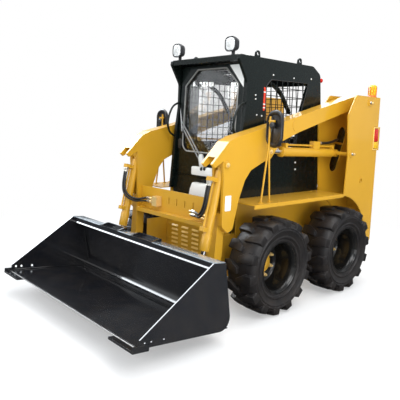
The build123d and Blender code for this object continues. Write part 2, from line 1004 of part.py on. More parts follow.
wire_edge = [
    (rear_wire_x(window_low - 2) - wire, window_low - 2, 0),
    (rear_wire_x(window_low - 2), window_low - 2, 0),
    (rear_wire_x(knee), knee, 0),
    (rear_wire_x(window_high + 2), window_high + 2, 0),
    (rear_wire_x(window_high + 2) - wire, window_high + 2, 0),
    (rear_wire_x(knee) - wire, knee, 0),
]
for i in range(7):
    y = -window_half + (i + 1) * window_half / 4
    rear_wall += plate(wire_edge, y - wire / 2, y + wire / 2)
for i in range(6):
    z = window_low + (i + 0.5) * (window_high - window_low) / 6
    x = rear_wire_x(z)
    span = (-window_half - 2, window_half + 2)
    rear_wall += block((x - 1, x + wire - 1), span, (z - wire / 2, z + wire / 2))
save("cab_rear", rear_wall)

foot_top = door_bottom - door_gap
foot_edge = [
    (chassis_front - 12, front_plate_top, 0),
    (chassis_front, front_plate_top, 0),
    (door_foot_x + door_thick, foot_top - 20, 0),
    (door_foot_x + door_thick, foot_top, 0),
    (door_foot_x, foot_top, 0),
    (door_foot_x, foot_top - 12, 0),
    (door_foot_x + door_thick - 12, foot_top - 20, 0),
]
save("foot_panel", plate(foot_edge, -inside, inside) + door_pin(foot_top))
panel_slope = (chassis_front - door_foot_x - door_thick) / (foot_top - 20 - front_plate_top)


def panel_x(z):
    """X of the foot panel's front face at height z."""
    return chassis_front - (z - front_plate_top) * panel_slope


bottle_edge = [
    (panel_x(850), 850, 0),
    (panel_x(1035), 1035, 0),
    (panel_x(1035) + 62, 1035, 18),
    (panel_x(1035) + 88, 980, 24),
    (panel_x(1035) + 88, 850, 14),
]
save("washer_bottle", plate(bottle_edge, -100, 190))

cushion_edge = [
    (-330, seat_height, 0),
    (90, seat_height, 20),
    (120, seat_height + 46, 20),
    (100, seat_height + 90, 24),
    (-330, seat_height + 90, 0),
]
back_edge = [
    (-330 - seat_gap, seat_height, 0),
    (-330 - seat_gap, 1480, 30),
    (-404, 1480, 20),
    (-410, seat_height, 0),
]
seat = plate(cushion_edge, -230, 230)
seat_back = plate(back_edge, -230, 230)
seat_base = block((-410, 100), (-210, 210), (case_top, seat_height - seat_gap))
save("seat", seat, seat_back)
save("seat_base", seat_base)


# Door in front of the driver

half_door = inside - door_gap
low, high = Vector(*hinge_point(door_bottom)), Vector(*hinge_point(door_top))
section = Pos(low.X, 0, low.Z) * Rot(0, 0, 90) * SlotOverall(2 * half_door, door_thick)
frame = extrude(section, high.Z - low.Z, dir=Vector(high.X - low.X, 0, high.Z - low.Z))
glass_high = door_top - door_frame
window_outline = [
    # y, z, corner radius
    (-glass_half, glass_low, glass_corner),
    (glass_half, glass_low, glass_corner),
    (glass_half, glass_shoulder, 20),
    (glass_crown, glass_high, 20),
    (-glass_crown, glass_high, 20),
    (-glass_half, glass_shoulder, 20),
]
corners = [(y, z) for y, z, _ in window_outline]
window = make_face(FilletPolyline(*corners, radius=[r for _, _, r in window_outline], close=True))
facing = Plane((400, 0, 0), x_dir=(0, 1, 0), z_dir=(1, 0, 0))
frame -= extrude(facing * window, 300)
frame -= bar(hinge_point(door_bottom - 20), hinge_point(door_top + 20), hinge_pin + pin_gap)
pane = slab(door_bottom, door_top, (door_thick - glass) / 2, glass, -half_door, half_door)
pane = pane & extrude(facing * offset(window, -seat_gap), 300)
save("front_door", frame)
save("front_glass", pane)


def before_door(y, z, out):
    """A point in front of the door's outer face."""
    return (door_x(z) + door_thick + out, y, z)


wiper_out = 16
wiper = slab(1100, 1185, door_thick, 52, -141, 146)
wiper += bar(before_door(5, 1165, wiper_out), before_door(-352, 1548, wiper_out), 6)
wiper += bar(before_door(47, 1170, wiper_out), before_door(-366, 1604, wiper_out), 6)
wiper += bar(before_door(-342, 1484, wiper_out), before_door(-387, 1722, wiper_out), 8)
save("wiper", wiper)


# Cab fittings

lamp_z = cab_top + 85
lamps = []
for hand in (1, -1):
    y = hand * 347
    front = Plane((628, y, lamp_z), x_dir=(0, 1, 0), z_dir=(1, 0, 0))
    body = extrude(front * RectangleRounded(work_lamp, work_lamp, 38), 62, taper=-6)
    stalk = block((640, 655), (y - 12, y + 12), (cab_top, lamp_z - work_lamp / 2 + 4))
    foot = block((610, 660), (y - 22, y + 22), (cab_top, cab_top + 5))
    lamps.append(body + stalk + foot)
save("work_lights", *lamps)
rear_lamp = block((roof_rear - 88, roof_rear - 20), (270, 350), (cab_top - 96, cab_top))
rear_lamp += block((roof_rear - 20, roof_rear), (295, 325), (cab_top - 88, cab_top - 64))
save("rear_lamp", rear_lamp)
outer_tower = tower_width / 2
beacon_x = tower_rear + tower_lean + cap_length / 2
beacon_y = outer_tower - 70
beacon = Pos(beacon_x, beacon_y, tower_top + 8) * Cylinder(44, 16)
beacon += Pos(beacon_x, beacon_y, tower_top + 70) * Cylinder(36, 108)
save("beacon", beacon)
tails = []
for hand in (1, -1):
    y = hand * (outer_tower - guard_plate - guard_gap - lamp_width / 2)
    edge = [
        (tower_back(lamp_low), lamp_low, 0),
        (tower_back(lamp_high), lamp_high, 0),
        (tower_back(lamp_high) - lamp_depth, lamp_high, 8),
        (tower_back(lamp_low) - lamp_depth, lamp_low, 0),
    ]
    tails.append(plate(edge, y - lamp_width / 2, y + lamp_width / 2))
save("tail_lamps", *tails)


def mirror_stand():
    """A mirror with round ends, held by a rod that stands in a V on the ledge."""
    y = arm_outer + mirror_gap + mirror_width / 2
    rear = Plane((mirror_x - mirror_depth / 2, y, mirror_z), x_dir=(0, 0, 1), z_dir=(1, 0, 0))
    shape = extrude(rear * SlotOverall(mirror_length, mirror_width), mirror_depth)
    rod_x = mirror_x + mirror_depth / 2 + mirror_rod - 4
    rod_y = y - mirror_width / 2 + 50
    turn_z = mirror_z - mirror_length / 2 + 30
    shape += bar((rod_x, rod_y, turn_z), (rod_x, rod_y, mirror_z + 40), mirror_rod)
    for foot_x in (507, 616):
        shape += bar((rod_x, rod_y, turn_z + 6), (foot_x, rod_y, ledge_height + 4), mirror_rod)
        foot_z = (ledge_height, ledge_height + 8)
        shape += block((foot_x - 16, foot_x + 16), (rod_y - 12, rod_y + 12), foot_z)
    return shape


save("mirrors", *left_right(mirror_stand()))

handle_y = cab_width / 2 - cab_wall / 2
handle_route = [
    # in front of the cab side's edge
    (560, handle_y, 1778),
    (640, handle_y, 1745),
    (686, handle_y, 1660),
    (704, handle_y, 1560),
    (672, handle_y, 1478),
    (594, handle_y, 1446),
]
save("grab_handles", *left_right(tube(handle_route, 10) - side))

levers = []
for hand in (1, -1):
    y = hand * 300
    stick = bar((300, y, case_top + 10), (330, y, 1130), 14) + bar((330, y, 1120), (335, y, 1230), 24)
    levers.append(stick + block((270, 330), (y - 30, y + 30), (case_top, case_top + 20)))
save("levers", *levers)
lap = bar((-200, -350, 1250), (260, -350, 1330), 16)
lap += bar((260, -360, 1330), (260, 360, 1330), 16)
lap += bar((-200, 350, 1250), (260, 350, 1330), 16)
for hand in (1, -1):
    lap += bar((-200, hand * 344, 1250), (-200, hand * inside, 1250), 14)
save("lap_bar", lap)
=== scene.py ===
import json
import math

import bmesh
import bpy
from mathutils import Matrix, Vector


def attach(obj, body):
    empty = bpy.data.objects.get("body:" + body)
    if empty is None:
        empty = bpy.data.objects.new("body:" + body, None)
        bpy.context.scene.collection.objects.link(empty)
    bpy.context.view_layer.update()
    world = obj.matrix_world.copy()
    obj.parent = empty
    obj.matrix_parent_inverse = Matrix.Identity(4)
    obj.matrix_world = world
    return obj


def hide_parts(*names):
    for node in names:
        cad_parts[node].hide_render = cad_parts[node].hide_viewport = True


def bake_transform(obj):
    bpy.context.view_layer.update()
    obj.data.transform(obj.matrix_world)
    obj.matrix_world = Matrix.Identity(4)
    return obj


# Skid steer loader, dressed round its CAD frame. X forward, Y to the machine's left, Z up.
# Places are given in millimetres from the middle between the axles on the ground; at() makes metres.

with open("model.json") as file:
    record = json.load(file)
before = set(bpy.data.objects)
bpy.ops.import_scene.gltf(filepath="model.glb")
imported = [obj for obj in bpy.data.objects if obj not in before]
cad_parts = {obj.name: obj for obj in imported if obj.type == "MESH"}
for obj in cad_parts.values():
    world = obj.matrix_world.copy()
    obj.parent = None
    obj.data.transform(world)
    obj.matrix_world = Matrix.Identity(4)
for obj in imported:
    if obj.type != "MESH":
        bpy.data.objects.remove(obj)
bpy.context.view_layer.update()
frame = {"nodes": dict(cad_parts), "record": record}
nodes = frame["nodes"]
bpy.ops.object.select_all(action="DESELECT")

mm = 0.001
wheel_places = {
    joint["name"].replace("_wheel_spin", ""): Vector(joint["pos_m"])
    for joint in frame["record"]["behaviour"]["joints"]
    if joint["name"].endswith("_wheel_spin")
}
middle_x = sum(place.x for place in wheel_places.values()) / len(wheel_places)

# Faces of the frame that fittings sit on
cab_side = 454
cab_roof = 2160
tower_side = 770
arm_side = 640
ledge_top = 950
front_plate = 660
rear_door = -1143

# Middles that more than one piece shares
arm_middle = 575
work_light_y = 347
rear_lamp_y = 310


def at(x, y, z):
    return Vector((x * mm + middle_x, y * mm, z * mm))


def new_object(name, data):
    made = bpy.data.objects.new(name, data)
    bpy.context.scene.collection.objects.link(made)
    return made


# Camera and studio

photo_size = 400
focal_px = 491.5
camera_place = at(3705, 3329, 1591)
camera_yaw, camera_pitch, camera_roll = math.radians(-132.6), math.radians(-8.97), math.radians(2.12)
studio_middle = at(300, 0, 900)
window_facing = (0.05, -0.74, 0.67)
window_rim, window_core = 0.86, 0.95
window_strength = 11.0
first_mirror_depth = 2.5
sky_strength = 0.72
floor_size = 120
floor_tone, mirrored_floor_tone = 0.93, 0.08
glow_near, glow_far = 1.5, 4.5
glow_low, glow_full = 0.35, 1.0


def make_camera():
    level_reach = math.cos(camera_pitch)
    forward = Vector(
        (level_reach * math.cos(camera_yaw), level_reach * math.sin(camera_yaw), math.sin(camera_pitch))
    )
    level = forward.cross(Vector((0, 0, 1))).normalized()
    right = level * math.cos(camera_roll) + level.cross(forward) * math.sin(camera_roll)
    up = right.cross(forward)
    data = bpy.data.cameras.new("photo_camera")
    data.lens = focal_px / photo_size * data.sensor_width
    camera = new_object("photo_camera", data)
    turn = Matrix((right, up, -forward)).transposed().to_4x4()
    camera.matrix_world = Matrix.Translation(camera_place) @ turn
    bpy.context.scene.camera = camera


def soft_box(name, place, size, power):
    """A rectangular lamp that faces the middle of the machine."""
    data = bpy.data.lights.new(name, "AREA")
    data.shape = "RECTANGLE"
    data.size, data.size_y = size
    data.energy = power
    facing = (place - studio_middle).to_track_quat("Z", "Y").to_matrix().to_4x4()
    new_object(name, data).matrix_world = Matrix.Translation(place) @ facing


def feed(tree, node, inputs):
    """Gives each input its value, or the socket that feeds it."""
    for key, value in inputs.items():
        if isinstance(value, bpy.types.NodeSocket):
            tree.links.new(value, node.inputs[key])
        else:
            node.inputs[key].default_value = value


def add(tree, kind, inputs=None, **settings):
    """A shader node with its settings and inputs."""
    made = tree.nodes.new("ShaderNode" + kind)
    for key, value in settings.items():
        setattr(made, key, value)
    feed(tree, made, inputs or {})
    return made


def compute(tree, operation, *terms):
    """The result of a Math node on values or sockets."""
    return add(tree, "Math", dict(enumerate(terms)), operation=operation).outputs[0]


def remap(tree, value, low, high, to_low=0.0, to_high=1.0):
    """The result of a Map Range node."""
    inputs = {"Value": value, "From Min": low, "From Max": high, "To Min": to_low, "To Max": to_high}
    return add(tree, "MapRange", inputs).outputs[0]


def make_world():
    """White to the camera, and a pale sky to the machine, whose bright window only first reflections show."""
    scene = bpy.context.scene
    scene.view_settings.view_transform = "Standard"
    scene.world = bpy.data.worlds.new("studio")
    scene.world.use_nodes = True
    tree = scene.world.node_tree
    tree.nodes.clear()
    path = add(tree, "LightPath").outputs
    direction = add(tree, "TexCoord").outputs["Generated"]
    facing = add(tree, "VectorMath", {0: direction, 1: window_facing}, operation="DOT_PRODUCT")
    bright = remap(tree, facing.outputs["Value"], window_rim, window_core, 0.0, window_strength)
    once = compute(tree, "LESS_THAN", path["Ray Depth"], first_mirror_depth)
    mirrored = compute(tree, "MULTIPLY", once, path["Is Glossy Ray"])
    strength = compute(tree, "MULTIPLY_ADD", bright, mirrored, sky_strength)
    seen = add(tree, "Background", {"Color": (1, 1, 1, 1)})
    fill = add(tree, "Background", {"Color": (0.90, 0.95, 1.0, 1), "Strength": strength})
    shows = compute(tree, "MAXIMUM", path["Is Camera Ray"], path["Is Transmission Ray"])
    mix = add(tree, "MixShader", {0: shows, 1: fill.outputs[0], 2: seen.outputs[0]})
    add(tree, "OutputWorld", {"Surface": mix.outputs[0]})


def make_floor():
    """A pale floor that keeps the shadow: part of what the camera sees of it shines evenly."""
    bpy.ops.mesh.primitive_plane_add(size=floor_size)
    floor = bpy.context.object
    floor.name = "floor"
    material = bpy.data.materials.new("studio_floor")
    material.use_nodes = True
    tree = material.node_tree
    path = add(tree, "LightPath").outputs
    base = tree.nodes["Principled BSDF"]
    tone = remap(tree, path["Is Glossy Ray"], 0, 1, floor_tone, mirrored_floor_tone)
    feed(tree, base, {"Roughness": 0.8, "Base Color": tone})
    glow = add(tree, "Emission", {"Color": (1, 1, 1, 1)})
    place = add(tree, "NewGeometry").outputs["Position"]
    distance = add(tree, "VectorMath", {0: place}, operation="LENGTH")
    fade = remap(tree, distance.outputs["Value"], glow_near, glow_far, glow_low, glow_full)
    share = compute(tree, "MULTIPLY", path["Is Camera Ray"], fade)
    mix = add(tree, "MixShader", {0: share, 1: base.outputs[0], 2: glow.outputs[0]})
    feed(tree, tree.nodes["Material Output"], {"Surface": mix.outputs[0]})
    floor.data.materials.append(material)


make_camera()
make_world()
make_floor()
soft_box("key", at(2400, 3900, 4300), (3.4, 3.0), 158)
soft_box("front", at(5200, -1400, 2400), (3.0, 2.4), 65)
soft_box("top", at(0, 0, 5200), (4.5, 3.5), 185)
soft_box("back", at(-4200, -2600, 3200), (3.0, 2.4), 80)
soft_box("low_fill", at(900, 4300, 900), (3.0, 1.2), 34)


# Shader groups shared by the finishes

def new_group(name, inputs, **outputs):
    """An empty group, what its input node gives, and its output node. An input with no value is a vector."""
    group = bpy.data.node_groups.new(name, "ShaderNodeTree")
    for label, value in inputs.items():
        kind = {float: "Float", tuple: "Color"}.get(type(value), "Vector")
        socket = group.interface.new_socket(label, in_out="INPUT", socket_type="NodeSocket" + kind)
        if value is not None:
            socket.default_value = value
    for label, kind in outputs.items():
        group.interface.new_socket(label, in_out="OUTPUT", socket_type="NodeSocket" + kind)
    return group, group.nodes.new("NodeGroupInput").outputs, group.nodes.new("NodeGroupOutput")


def rounded_edge_group():
    """A normal that rounds sharp edges, with fine relief over it."""
    inputs = {"Radius": 0.004, "Height": 0.0, "Relief": 0.1}
    group, given, result = new_group("rounded_edges", inputs, Normal="Vector")
    bevel = add(group, "Bevel", {"Radius": given["Radius"]}, samples=4).outputs[0]
    relief = {"Distance": 0.002, "Height": given["Height"], "Strength": given["Relief"], "Normal": bevel}
    feed(group, result, {"Normal": add(group, "Bump", relief).outputs[0]})
    return group


def grain_group():
    """Fine noise in two sizes, as height and as a mask."""
    inputs = {"Vector": None, "Scale": 300.0, "Detail": 3.0}
    group, given, result = new_group("grain", inputs, Height="Float", Mask="Float")
    spot = {"Vector": given["Vector"], "Detail": given["Detail"]}
    fine = add(group, "TexNoise", {**spot, "Scale": given["Scale"]}).outputs[0]
    coarse_scale = compute(group, "MULTIPLY", given["Scale"], 0.05)
    coarse = add(group, "TexNoise", {**spot, "Scale": coarse_scale}).outputs[0]
    feed(group, result, {"Height": fine, "Mask": compute(group, "MULTIPLY", fine, coarse)})
    return group


def noise(group, given, **values):
    """Noise at a group's own scale."""
    return add(group, "TexNoise", {**values, "Vector": given["Vector"], "Scale": given["Scale"]}).outputs[0]


def scaled_mask(group, given, result, *masks):
    """Puts out two masks times each other and the group's amount."""
    both = compute(group, "MULTIPLY", *masks)
    feed(group, result, {"Mask": compute(group, "MULTIPLY", both, given["Amount"])})


def edge_wear_and_glint_group():
    """A mask along edges, broken up by noise: worn edges, and on the tyres a painted glint along the lug
    edges.
    """
    inputs = {"Vector": None, "Radius": 0.004, "Amount": 0.5, "Scale": 40.0}
    group, given, result = new_group("edge_wear", inputs, Mask="Float")
    bevel = add(group, "Bevel", {"Radius": given["Radius"]}, samples=4).outputs[0]
    flat = add(group, "NewGeometry").outputs["Normal"]
    match = add(group, "VectorMath", {0: bevel, 1: flat}, operation="DOT_PRODUCT")
    edge = remap(group, match.outputs["Value"], 0.99, 0.86)
    patches = remap(group, noise(group, given, Detail=6.0), 0.5, 0.62)
    scaled_mask(group, given, result, edge, patches)
    return group


def dust_group():
    """A mask of dust: more near the ground and on faces that look up."""
    inputs = {"Vector": None, "Clean Height": 0.9, "Amount": 0.3, "Scale": 9.0}
    group, given, result = new_group("dust", inputs, Mask="Float")
    height = add(group, "SeparateXYZ", {0: given["Vector"]}).outputs["Z"]
    low = remap(group, height, 0.0, given["Clean Height"], 1.0, 0.0)
    facing = add(group, "SeparateXYZ", {0: add(group, "NewGeometry").outputs["Normal"]}).outputs["Z"]
    up = remap(group, facing, 0.3, 1.0, 0.0, 0.5)
    patches = remap(group, noise(group, given, Detail=8.0, Roughness=0.65), 0.36, 0.7)
    scaled_mask(group, given, result, compute(group, "MAXIMUM", low, up), patches)
    return group


def tone_group():
    """A colour that drifts a little lighter and darker over the surface."""
    inputs = {"Vector": None, "Colour": (0.5, 0.5, 0.5, 1), "Spread": 0.1, "Scale": 3.0}
    group, given, result = new_group("tone_drift", inputs, Colour="Color")
    centred = compute(group, "SUBTRACT", noise(group, given, Detail=4.0), 0.5)
    gain = compute(group, "MULTIPLY_ADD", centred, given["Spread"], 1.0)
    shade = add(group, "VectorMath", {0: given["Colour"], "Scale": gain}, operation="SCALE")
    feed(group, result, {"Colour": shade.outputs[0]})
    return group


rounded_edges = rounded_edge_group()
grain = grain_group()
edge_wear = edge_wear_and_glint_group()
dust = dust_group()
tone_drift = tone_group()


def place_group(tree, group, inputs):
    """Places a shared group and gives what it puts out."""
    made = tree.nodes.new("ShaderNodeGroup")
    made.node_tree = group
    feed(tree, made, inputs)
    return made.outputs


def blend_colour(tree, mask, first, second):
    """The first colour where the mask is 0 and the second where it is 1."""
    return add(tree, "Mix", {0: mask, 6: first, 7: (*second, 1)}, data_type="RGBA").outputs[2]


finishes = {}


def finish(
    name, colour, roughness, metallic=0.0, coat=0.0, edge=0.004, spread=0.12, grain_scale=300.0, relief=0.05,
    worn=None, wear=0.0, dusty=0.0, dust_colour=(0.32, 0.25, 0.17), clean_height=0.9, rough_spread=0.12,
    shine=0.5,
):
    """A finish from the shared groups: tone, edge wear (on the tyres a painted glint) and dust for colour,
    grain for roughness and relief.
    """
    material = bpy.data.materials.new(name)
    material.use_nodes = True
    tree = material.node_tree
    spot = add(tree, "TexCoord").outputs["Object"]
    tint = place_group(tree, tone_drift, {"Colour": (*colour, 1), "Spread": spread, "Vector": spot})["Colour"]
    fine = place_group(tree, grain, {"Scale": grain_scale, "Vector": spot})
    # The edge colour is wear on paint and steel, and a painted glint along the tyres' lug edges.
    if worn is not None:
        mask = place_group(tree, edge_wear, {"Amount": wear, "Radius": edge * 1.5, "Vector": spot})
        tint = blend_colour(tree, mask["Mask"], tint, worn)
    if dusty:
        mask = place_group(tree, dust, {"Amount": dusty, "Clean Height": clean_height, "Vector": spot})
        tint = blend_colour(tree, mask["Mask"], tint, dust_colour)
    normal = place_group(tree, rounded_edges, {"Radius": edge, "Relief": relief, "Height": fine["Height"]})
    feed(tree, tree.nodes["Principled BSDF"], {
        "Base Color": tint, "Metallic": metallic, "Coat Weight": coat, "Coat Roughness": 0.06,
        "Specular IOR Level": shine, "Normal": normal["Normal"],
        "Roughness": remap(tree, fine["Mask"], 0.1, 0.5, roughness, roughness + rough_spread),
    })
    finishes[name] = material


def clear_finish(name, colour, roughness, transmission, alpha=1.0):
    """Glass or a lens: see-through, with faint streaks in its roughness."""
    finish(name, colour, roughness, spread=0.04, grain_scale=60.0, relief=0.0, edge=0.001, rough_spread=0.03)
    tree = finishes[name].node_tree
    see_through = {"Transmission Weight": transmission, "IOR": 1.45, "Alpha": alpha}
    feed(tree, tree.nodes["Principled BSDF"], see_through)


# Finishes of the record's own slots
finish(
    "yellow_paint", (0.615, 0.328, 0.019), 0.30, coat=0.3, worn=(0.30, 0.15, 0.03), wear=0.35, dusty=0.22,
    spread=0.10, relief=0.03, shine=0.4,
)
finish(
    "black_paint", (0.0035, 0.0065, 0.0055), 0.22, coat=0.2, worn=(0.12, 0.11, 0.10), wear=0.3, dusty=0.03,
    spread=0.3, relief=0.03, shine=0.2,
)
finish(
    "bucket_black", (0.007, 0.008, 0.011), 0.15, coat=1.0, worn=(0.20, 0.18, 0.15), wear=0.6, dusty=0.05,
    spread=0.4, relief=0.06, edge=0.0015, shine=0.35,
)
# The tyre's pale edge colour is a painted glint along the lug edges, not wear.
finish(
    "tyre_rubber", (0.009, 0.008, 0.0085), 0.34, dusty=0.22, dust_colour=(0.085, 0.062, 0.045), spread=0.5,
    grain_scale=420.0, relief=0.25, edge=0.003, clean_height=1.6, rough_spread=0.25, shine=0.35,
    worn=(0.22, 0.22, 0.23), wear=0.35,
)
finish("engine_iron", (0.10, 0.10, 0.105), 0.6, metallic=0.6, relief=0.3, grain_scale=500.0)
finish("seat_vinyl", (0.028, 0.028, 0.030), 0.5, relief=0.35, grain_scale=700.0, edge=0.002)
clear_finish("glass", (0.94, 0.98, 0.97), 0.0, 1.0, alpha=0.3)
finish("lamp_body", (0.018, 0.018, 0.020), 0.38, relief=0.12, grain_scale=600.0, edge=0.002)
clear_finish("amber_lens", (1.0, 0.60, 0.02), 0.12, 0.25)
clear_finish("red_lens", (0.75, 0.03, 0.02), 0.12, 0.35)
finish("mirror_frame", (0.012, 0.012, 0.013), 0.28, coat=0.3, relief=0.08, grain_scale=600.0)
finish("black_plastic", (0.015, 0.015, 0.016), 0.42, relief=0.15, grain_scale=600.0, edge=0.002)
finish("white_plastic", (0.80, 0.81, 0.79), 0.32, spread=0.08, dusty=0.1, edge=0.003)
finish("chrome_rod", (0.82, 0.82, 0.82), 0.06, metallic=1.0, spread=0.05, relief=0.01)
finish("hose_rubber", (0.012, 0.012, 0.012), 0.36, relief=0.25, grain_scale=900.0, edge=0.001)
finish(
    "zinc_steel", (0.66, 0.63, 0.56), 0.28, metallic=1.0, spread=0.25, relief=0.1, edge=0.002,
    worn=(0.25, 0.22, 0.18), wear=0.3,
)

# Finishes for fittings that are only drawn here
finish("brass", (0.90, 0.64, 0.26), 0.25, metallic=0.4, spread=0.3, relief=0.1, edge=0.002)
finish("grey_seal", (0.22, 0.22, 0.21), 0.25, coat=0.5, relief=0.1, grain_scale=500.0, edge=0.001)
finish("red_strap", (0.72, 0.045, 0.015), 0.55, relief=0.4, grain_scale=1400.0, edge=0.0005)
finish("white_label", (0.85, 0.85, 0.83), 0.35, relief=0.02, dusty=0.1, edge=0.0005)
finish("mirror_pane", (0.80, 0.82, 0.84), 0.02, metallic=1.0, spread=0.02, relief=0.0)
finish(
    "rim_paint", (0.004, 0.0045, 0.005), 0.18, coat=0.3, worn=(0.10, 0.08, 0.06), wear=0.3, dusty=0.05,
    spread=0.3, relief=0.03, shine=0.3,
)
clear_finish("white_lens", (0.93, 0.95, 0.95), 0.1, 0.25)
finish("orange_base", (0.80, 0.16, 0.02), 0.3, edge=0.001)
finish("dull_metal", (0.30, 0.31, 0.31), 0.18, metallic=0.7, coat=0.5, spread=0.3, edge=0.001)
finish("pale_metal", (0.62, 0.63, 0.62), 0.22, coat=0.4, spread=0.15, edge=0.001)
# A lighter copy of the yellow paint: a painted highlight, on the louvre hoods and the side lens frames.
finish("pale_yellow", (0.88, 0.60, 0.16), 0.28, coat=0.3, spread=0.1, relief=0.03, edge=0.002)
# A pale blue grey for the black bucket's top flange: a painted reflection of the sky on its upward face.
finish("flange_black", (0.27, 0.32, 0.36), 0.18, coat=0.9, spread=0.7, relief=0.04)
finish("worn_steel", (0.34, 0.33, 0.32), 0.32, metallic=0.9, spread=0.6, relief=0.15)

for part in frame["record"]["subparts"]:
    object_slots = nodes[part["node"]].data.materials
    object_slots.clear()
    object_slots.append(finishes[part["material_slot"]])


# Modelling

def choose_only(piece):
    bpy.ops.object.select_all(action="DESELECT")
    piece.select_set(True)
    bpy.context.view_layer.objects.active = piece


def edit(piece):
    """Opens a piece in edit mode with everything selected."""
    choose_only(piece)
    bpy.ops.object.mode_set(mode="EDIT")
    bpy.ops.mesh.select_all(action="SELECT")


def start(primitive_add, **settings):
    """A new primitive by itself, open in edit mode."""
    bpy.ops.object.select_all(action="DESELECT")
    primitive_add(**settings)
    piece = bpy.context.object
    edit(piece)
    return piece


def start_block(low, high):
    """A block between two corners in metres, open in edit mode."""
    size = [abs(v - u) for u, v in zip(low, high)]
    return start(bpy.ops.mesh.primitive_cube_add, size=1, location=(low + high) / 2, scale=size)


def start_face(corners):
    """A flat face with its corners at these places in metres, open in edit mode."""
    piece = start(bpy.ops.mesh.primitive_circle_add, vertices=len(corners), radius=1, fill_type="NGON")
    mesh = bmesh.from_edit_mesh(piece.data)
    for vertex, corner in zip(mesh.verts, corners):
        vertex.co = corner
    bmesh.update_edit_mesh(piece.data)
    return piece


def choose_corners(piece, test):
    """Selects the corners whose place passes a test."""
    bpy.ops.mesh.select_mode(type="VERT")
    bpy.ops.mesh.select_all(action="DESELECT")
    for vertex in bmesh.from_edit_mesh(piece.data).verts:
        vertex.select_set(test(vertex.co))
    bmesh.update_edit_mesh(piece.data)


def modify(piece, kind, **settings):
    """Adds a modifier and applies it."""
    bpy.context.view_layer.objects.active = piece
    modifier = piece.modifiers.new(kind.lower(), kind)
    for key, value in settings.items():
        setattr(modifier, key, value)
    bpy.ops.object.modifier_apply(modifier=modifier.name)


def rename(piece, name):
    piece.name = name
    piece.data.name = name
    return piece


def settle(piece, name, bevel=0.0, segments=2, angle=32):
    """Closes a piece: faces outwards, transform applied, edges bevelled, round parts smooth."""
    bpy.ops.mesh.select_all(action="SELECT")
    bpy.ops.mesh.remove_doubles(threshold=2e-6)
    bpy.ops.mesh.normals_make_consistent(inside=False)
    bpy.ops.object.mode_set(mode="OBJECT")
    bpy.ops.object.transform_apply(location=True, rotation=True, scale=True)
    limit = math.radians(angle)
    if bevel:
        modify(piece, "BEVEL", width=bevel * mm, segments=segments, limit_method="ANGLE", angle_limit=limit)
    bpy.ops.object.shade_smooth_by_angle(angle=limit)
    return rename(piece, name)


origin = Vector((0, 0, 0))
outwards = (0, 1, 0)


def turned(name, rows, base=origin, along=outwards, sides=32, bevel=0.0, closed=False):
    """A round piece drawn out ring by ring from rows of distance along it and radius, in mm."""
    along = Vector(along).normalized()
    distance, radius = rows[0]
    piece = start(
        bpy.ops.mesh.primitive_circle_add, vertices=sides, radius=radius * mm,
        location=base + along * (distance * mm), rotation=along.to_track_quat("Z", "Y").to_euler(),
        fill_type="NOTHING" if closed else "NGON",
    )
    for row, following in zip(rows, rows[1:]):
        step = along * ((following[0] - row[0]) * mm)
        bpy.ops.mesh.extrude_region_move(TRANSFORM_OT_translate={"value": step})
        ratio = following[1] / row[1]
        if abs(ratio - 1) > 1e-6:
            middle = base + along * (following[0] * mm)
            bpy.ops.transform.resize(value=(ratio, ratio, ratio), center_override=middle)
    if closed:
        bpy.ops.mesh.select_all(action="DESELECT")
        bpy.ops.mesh.select_mode(type="EDGE")
        bpy.ops.mesh.select_non_manifold()
        bpy.ops.mesh.bridge_edge_loops()
    return settle(piece, name, bevel)


corner_steps = 6


def rounded(width, height, radius, centre):
    """The outline of a rectangle with round corners."""
    points = []
    for corner, (u, v) in enumerate(((1, 1), (-1, 1), (-1, -1), (1, -1))):
        for step in range(corner_steps + 1):
            t = math.pi / 2 * (corner + step / corner_steps)
            x = u * (width / 2 - radius) + radius * math.cos(t)
            y = v * (height / 2 - radius) + radius * math.sin(t)
            points.append((centre[0] + x, centre[1] + y))
    return points


def drawn(name, outline, rows, axis="Y", bevel=2.0, segments=2):
    """A piece drawn out along an axis from an outline in mm, through rows of place and scale."""
    place = {
        "X": lambda u, v, w: at(w, u, v),
        "Y": lambda u, v, w: at(u, w, v),
        "Z": lambda u, v, w: at(u, v, w),
    }[axis]
    middle = [sum(values) / len(outline) for values in zip(*outline)]
    first, scale = rows[0]
    scaled = [[m + (value - m) * scale for m, value in zip(middle, point)] for point in outline]
    piece = start_face([place(u, v, first) for u, v in scaled])
    for row, following in zip(rows, rows[1:]):
        step = place(0, 0, following[0]) - place(0, 0, row[0])
        bpy.ops.mesh.extrude_region_move(TRANSFORM_OT_translate={"value": step})
        ratio = following[1] / row[1]
        sizes = [1 if letter == axis else ratio for letter in "XYZ"]
        bpy.ops.transform.resize(value=sizes, center_override=place(*middle, following[0]))
    return settle(piece, name, bevel, segments)


def brick(name, low, high, bevel=3.0):
    """A block between two corners in mm."""
    return settle(start_block(at(*low), at(*high)), name, bevel)


def line_through(name, points, smooth, closed=False, steps=8):
    """A curve along points in mm."""
    curve = bpy.data.curves.new(name, "CURVE")
    curve.dimensions = "3D"
    spline = curve.splines.new("NURBS" if smooth else "POLY")
    spline.points.add(len(points) - 1)
    for point, place in zip(spline.points, points):
        point.co = (*at(*place), 1)
    spline.use_cyclic_u = closed
    if smooth:
        spline.order_u = 3
        spline.use_endpoint_u = True
        spline.resolution_u = steps
    return new_object(name, curve)


def thickened(name, piece, radius, sides, caps=True):
    """A curve made a round bar, as a mesh."""
    curve = piece.data
    curve.bevel_depth = radius * mm
    curve.bevel_resolution = sides
    curve.use_fill_caps = caps
    choose_only(piece)
    bpy.ops.object.convert(target="MESH")
    edit(piece)
    return settle(piece, name, angle=50)


def pipe(name, points, radius, closed=False, smooth=False, sides=3):
    """A bar along points in mm."""
    return thickened(name, line_through(name, points, smooth, closed), radius, sides, caps=not closed)


def joined(name, pieces):
    bpy.ops.object.select_all(action="DESELECT")
    for piece in pieces:
        piece.select_set(True)
    bpy.context.view_layer.objects.active = pieces[0]
    bpy.ops.object.join()
    return rename(pieces[0], name)


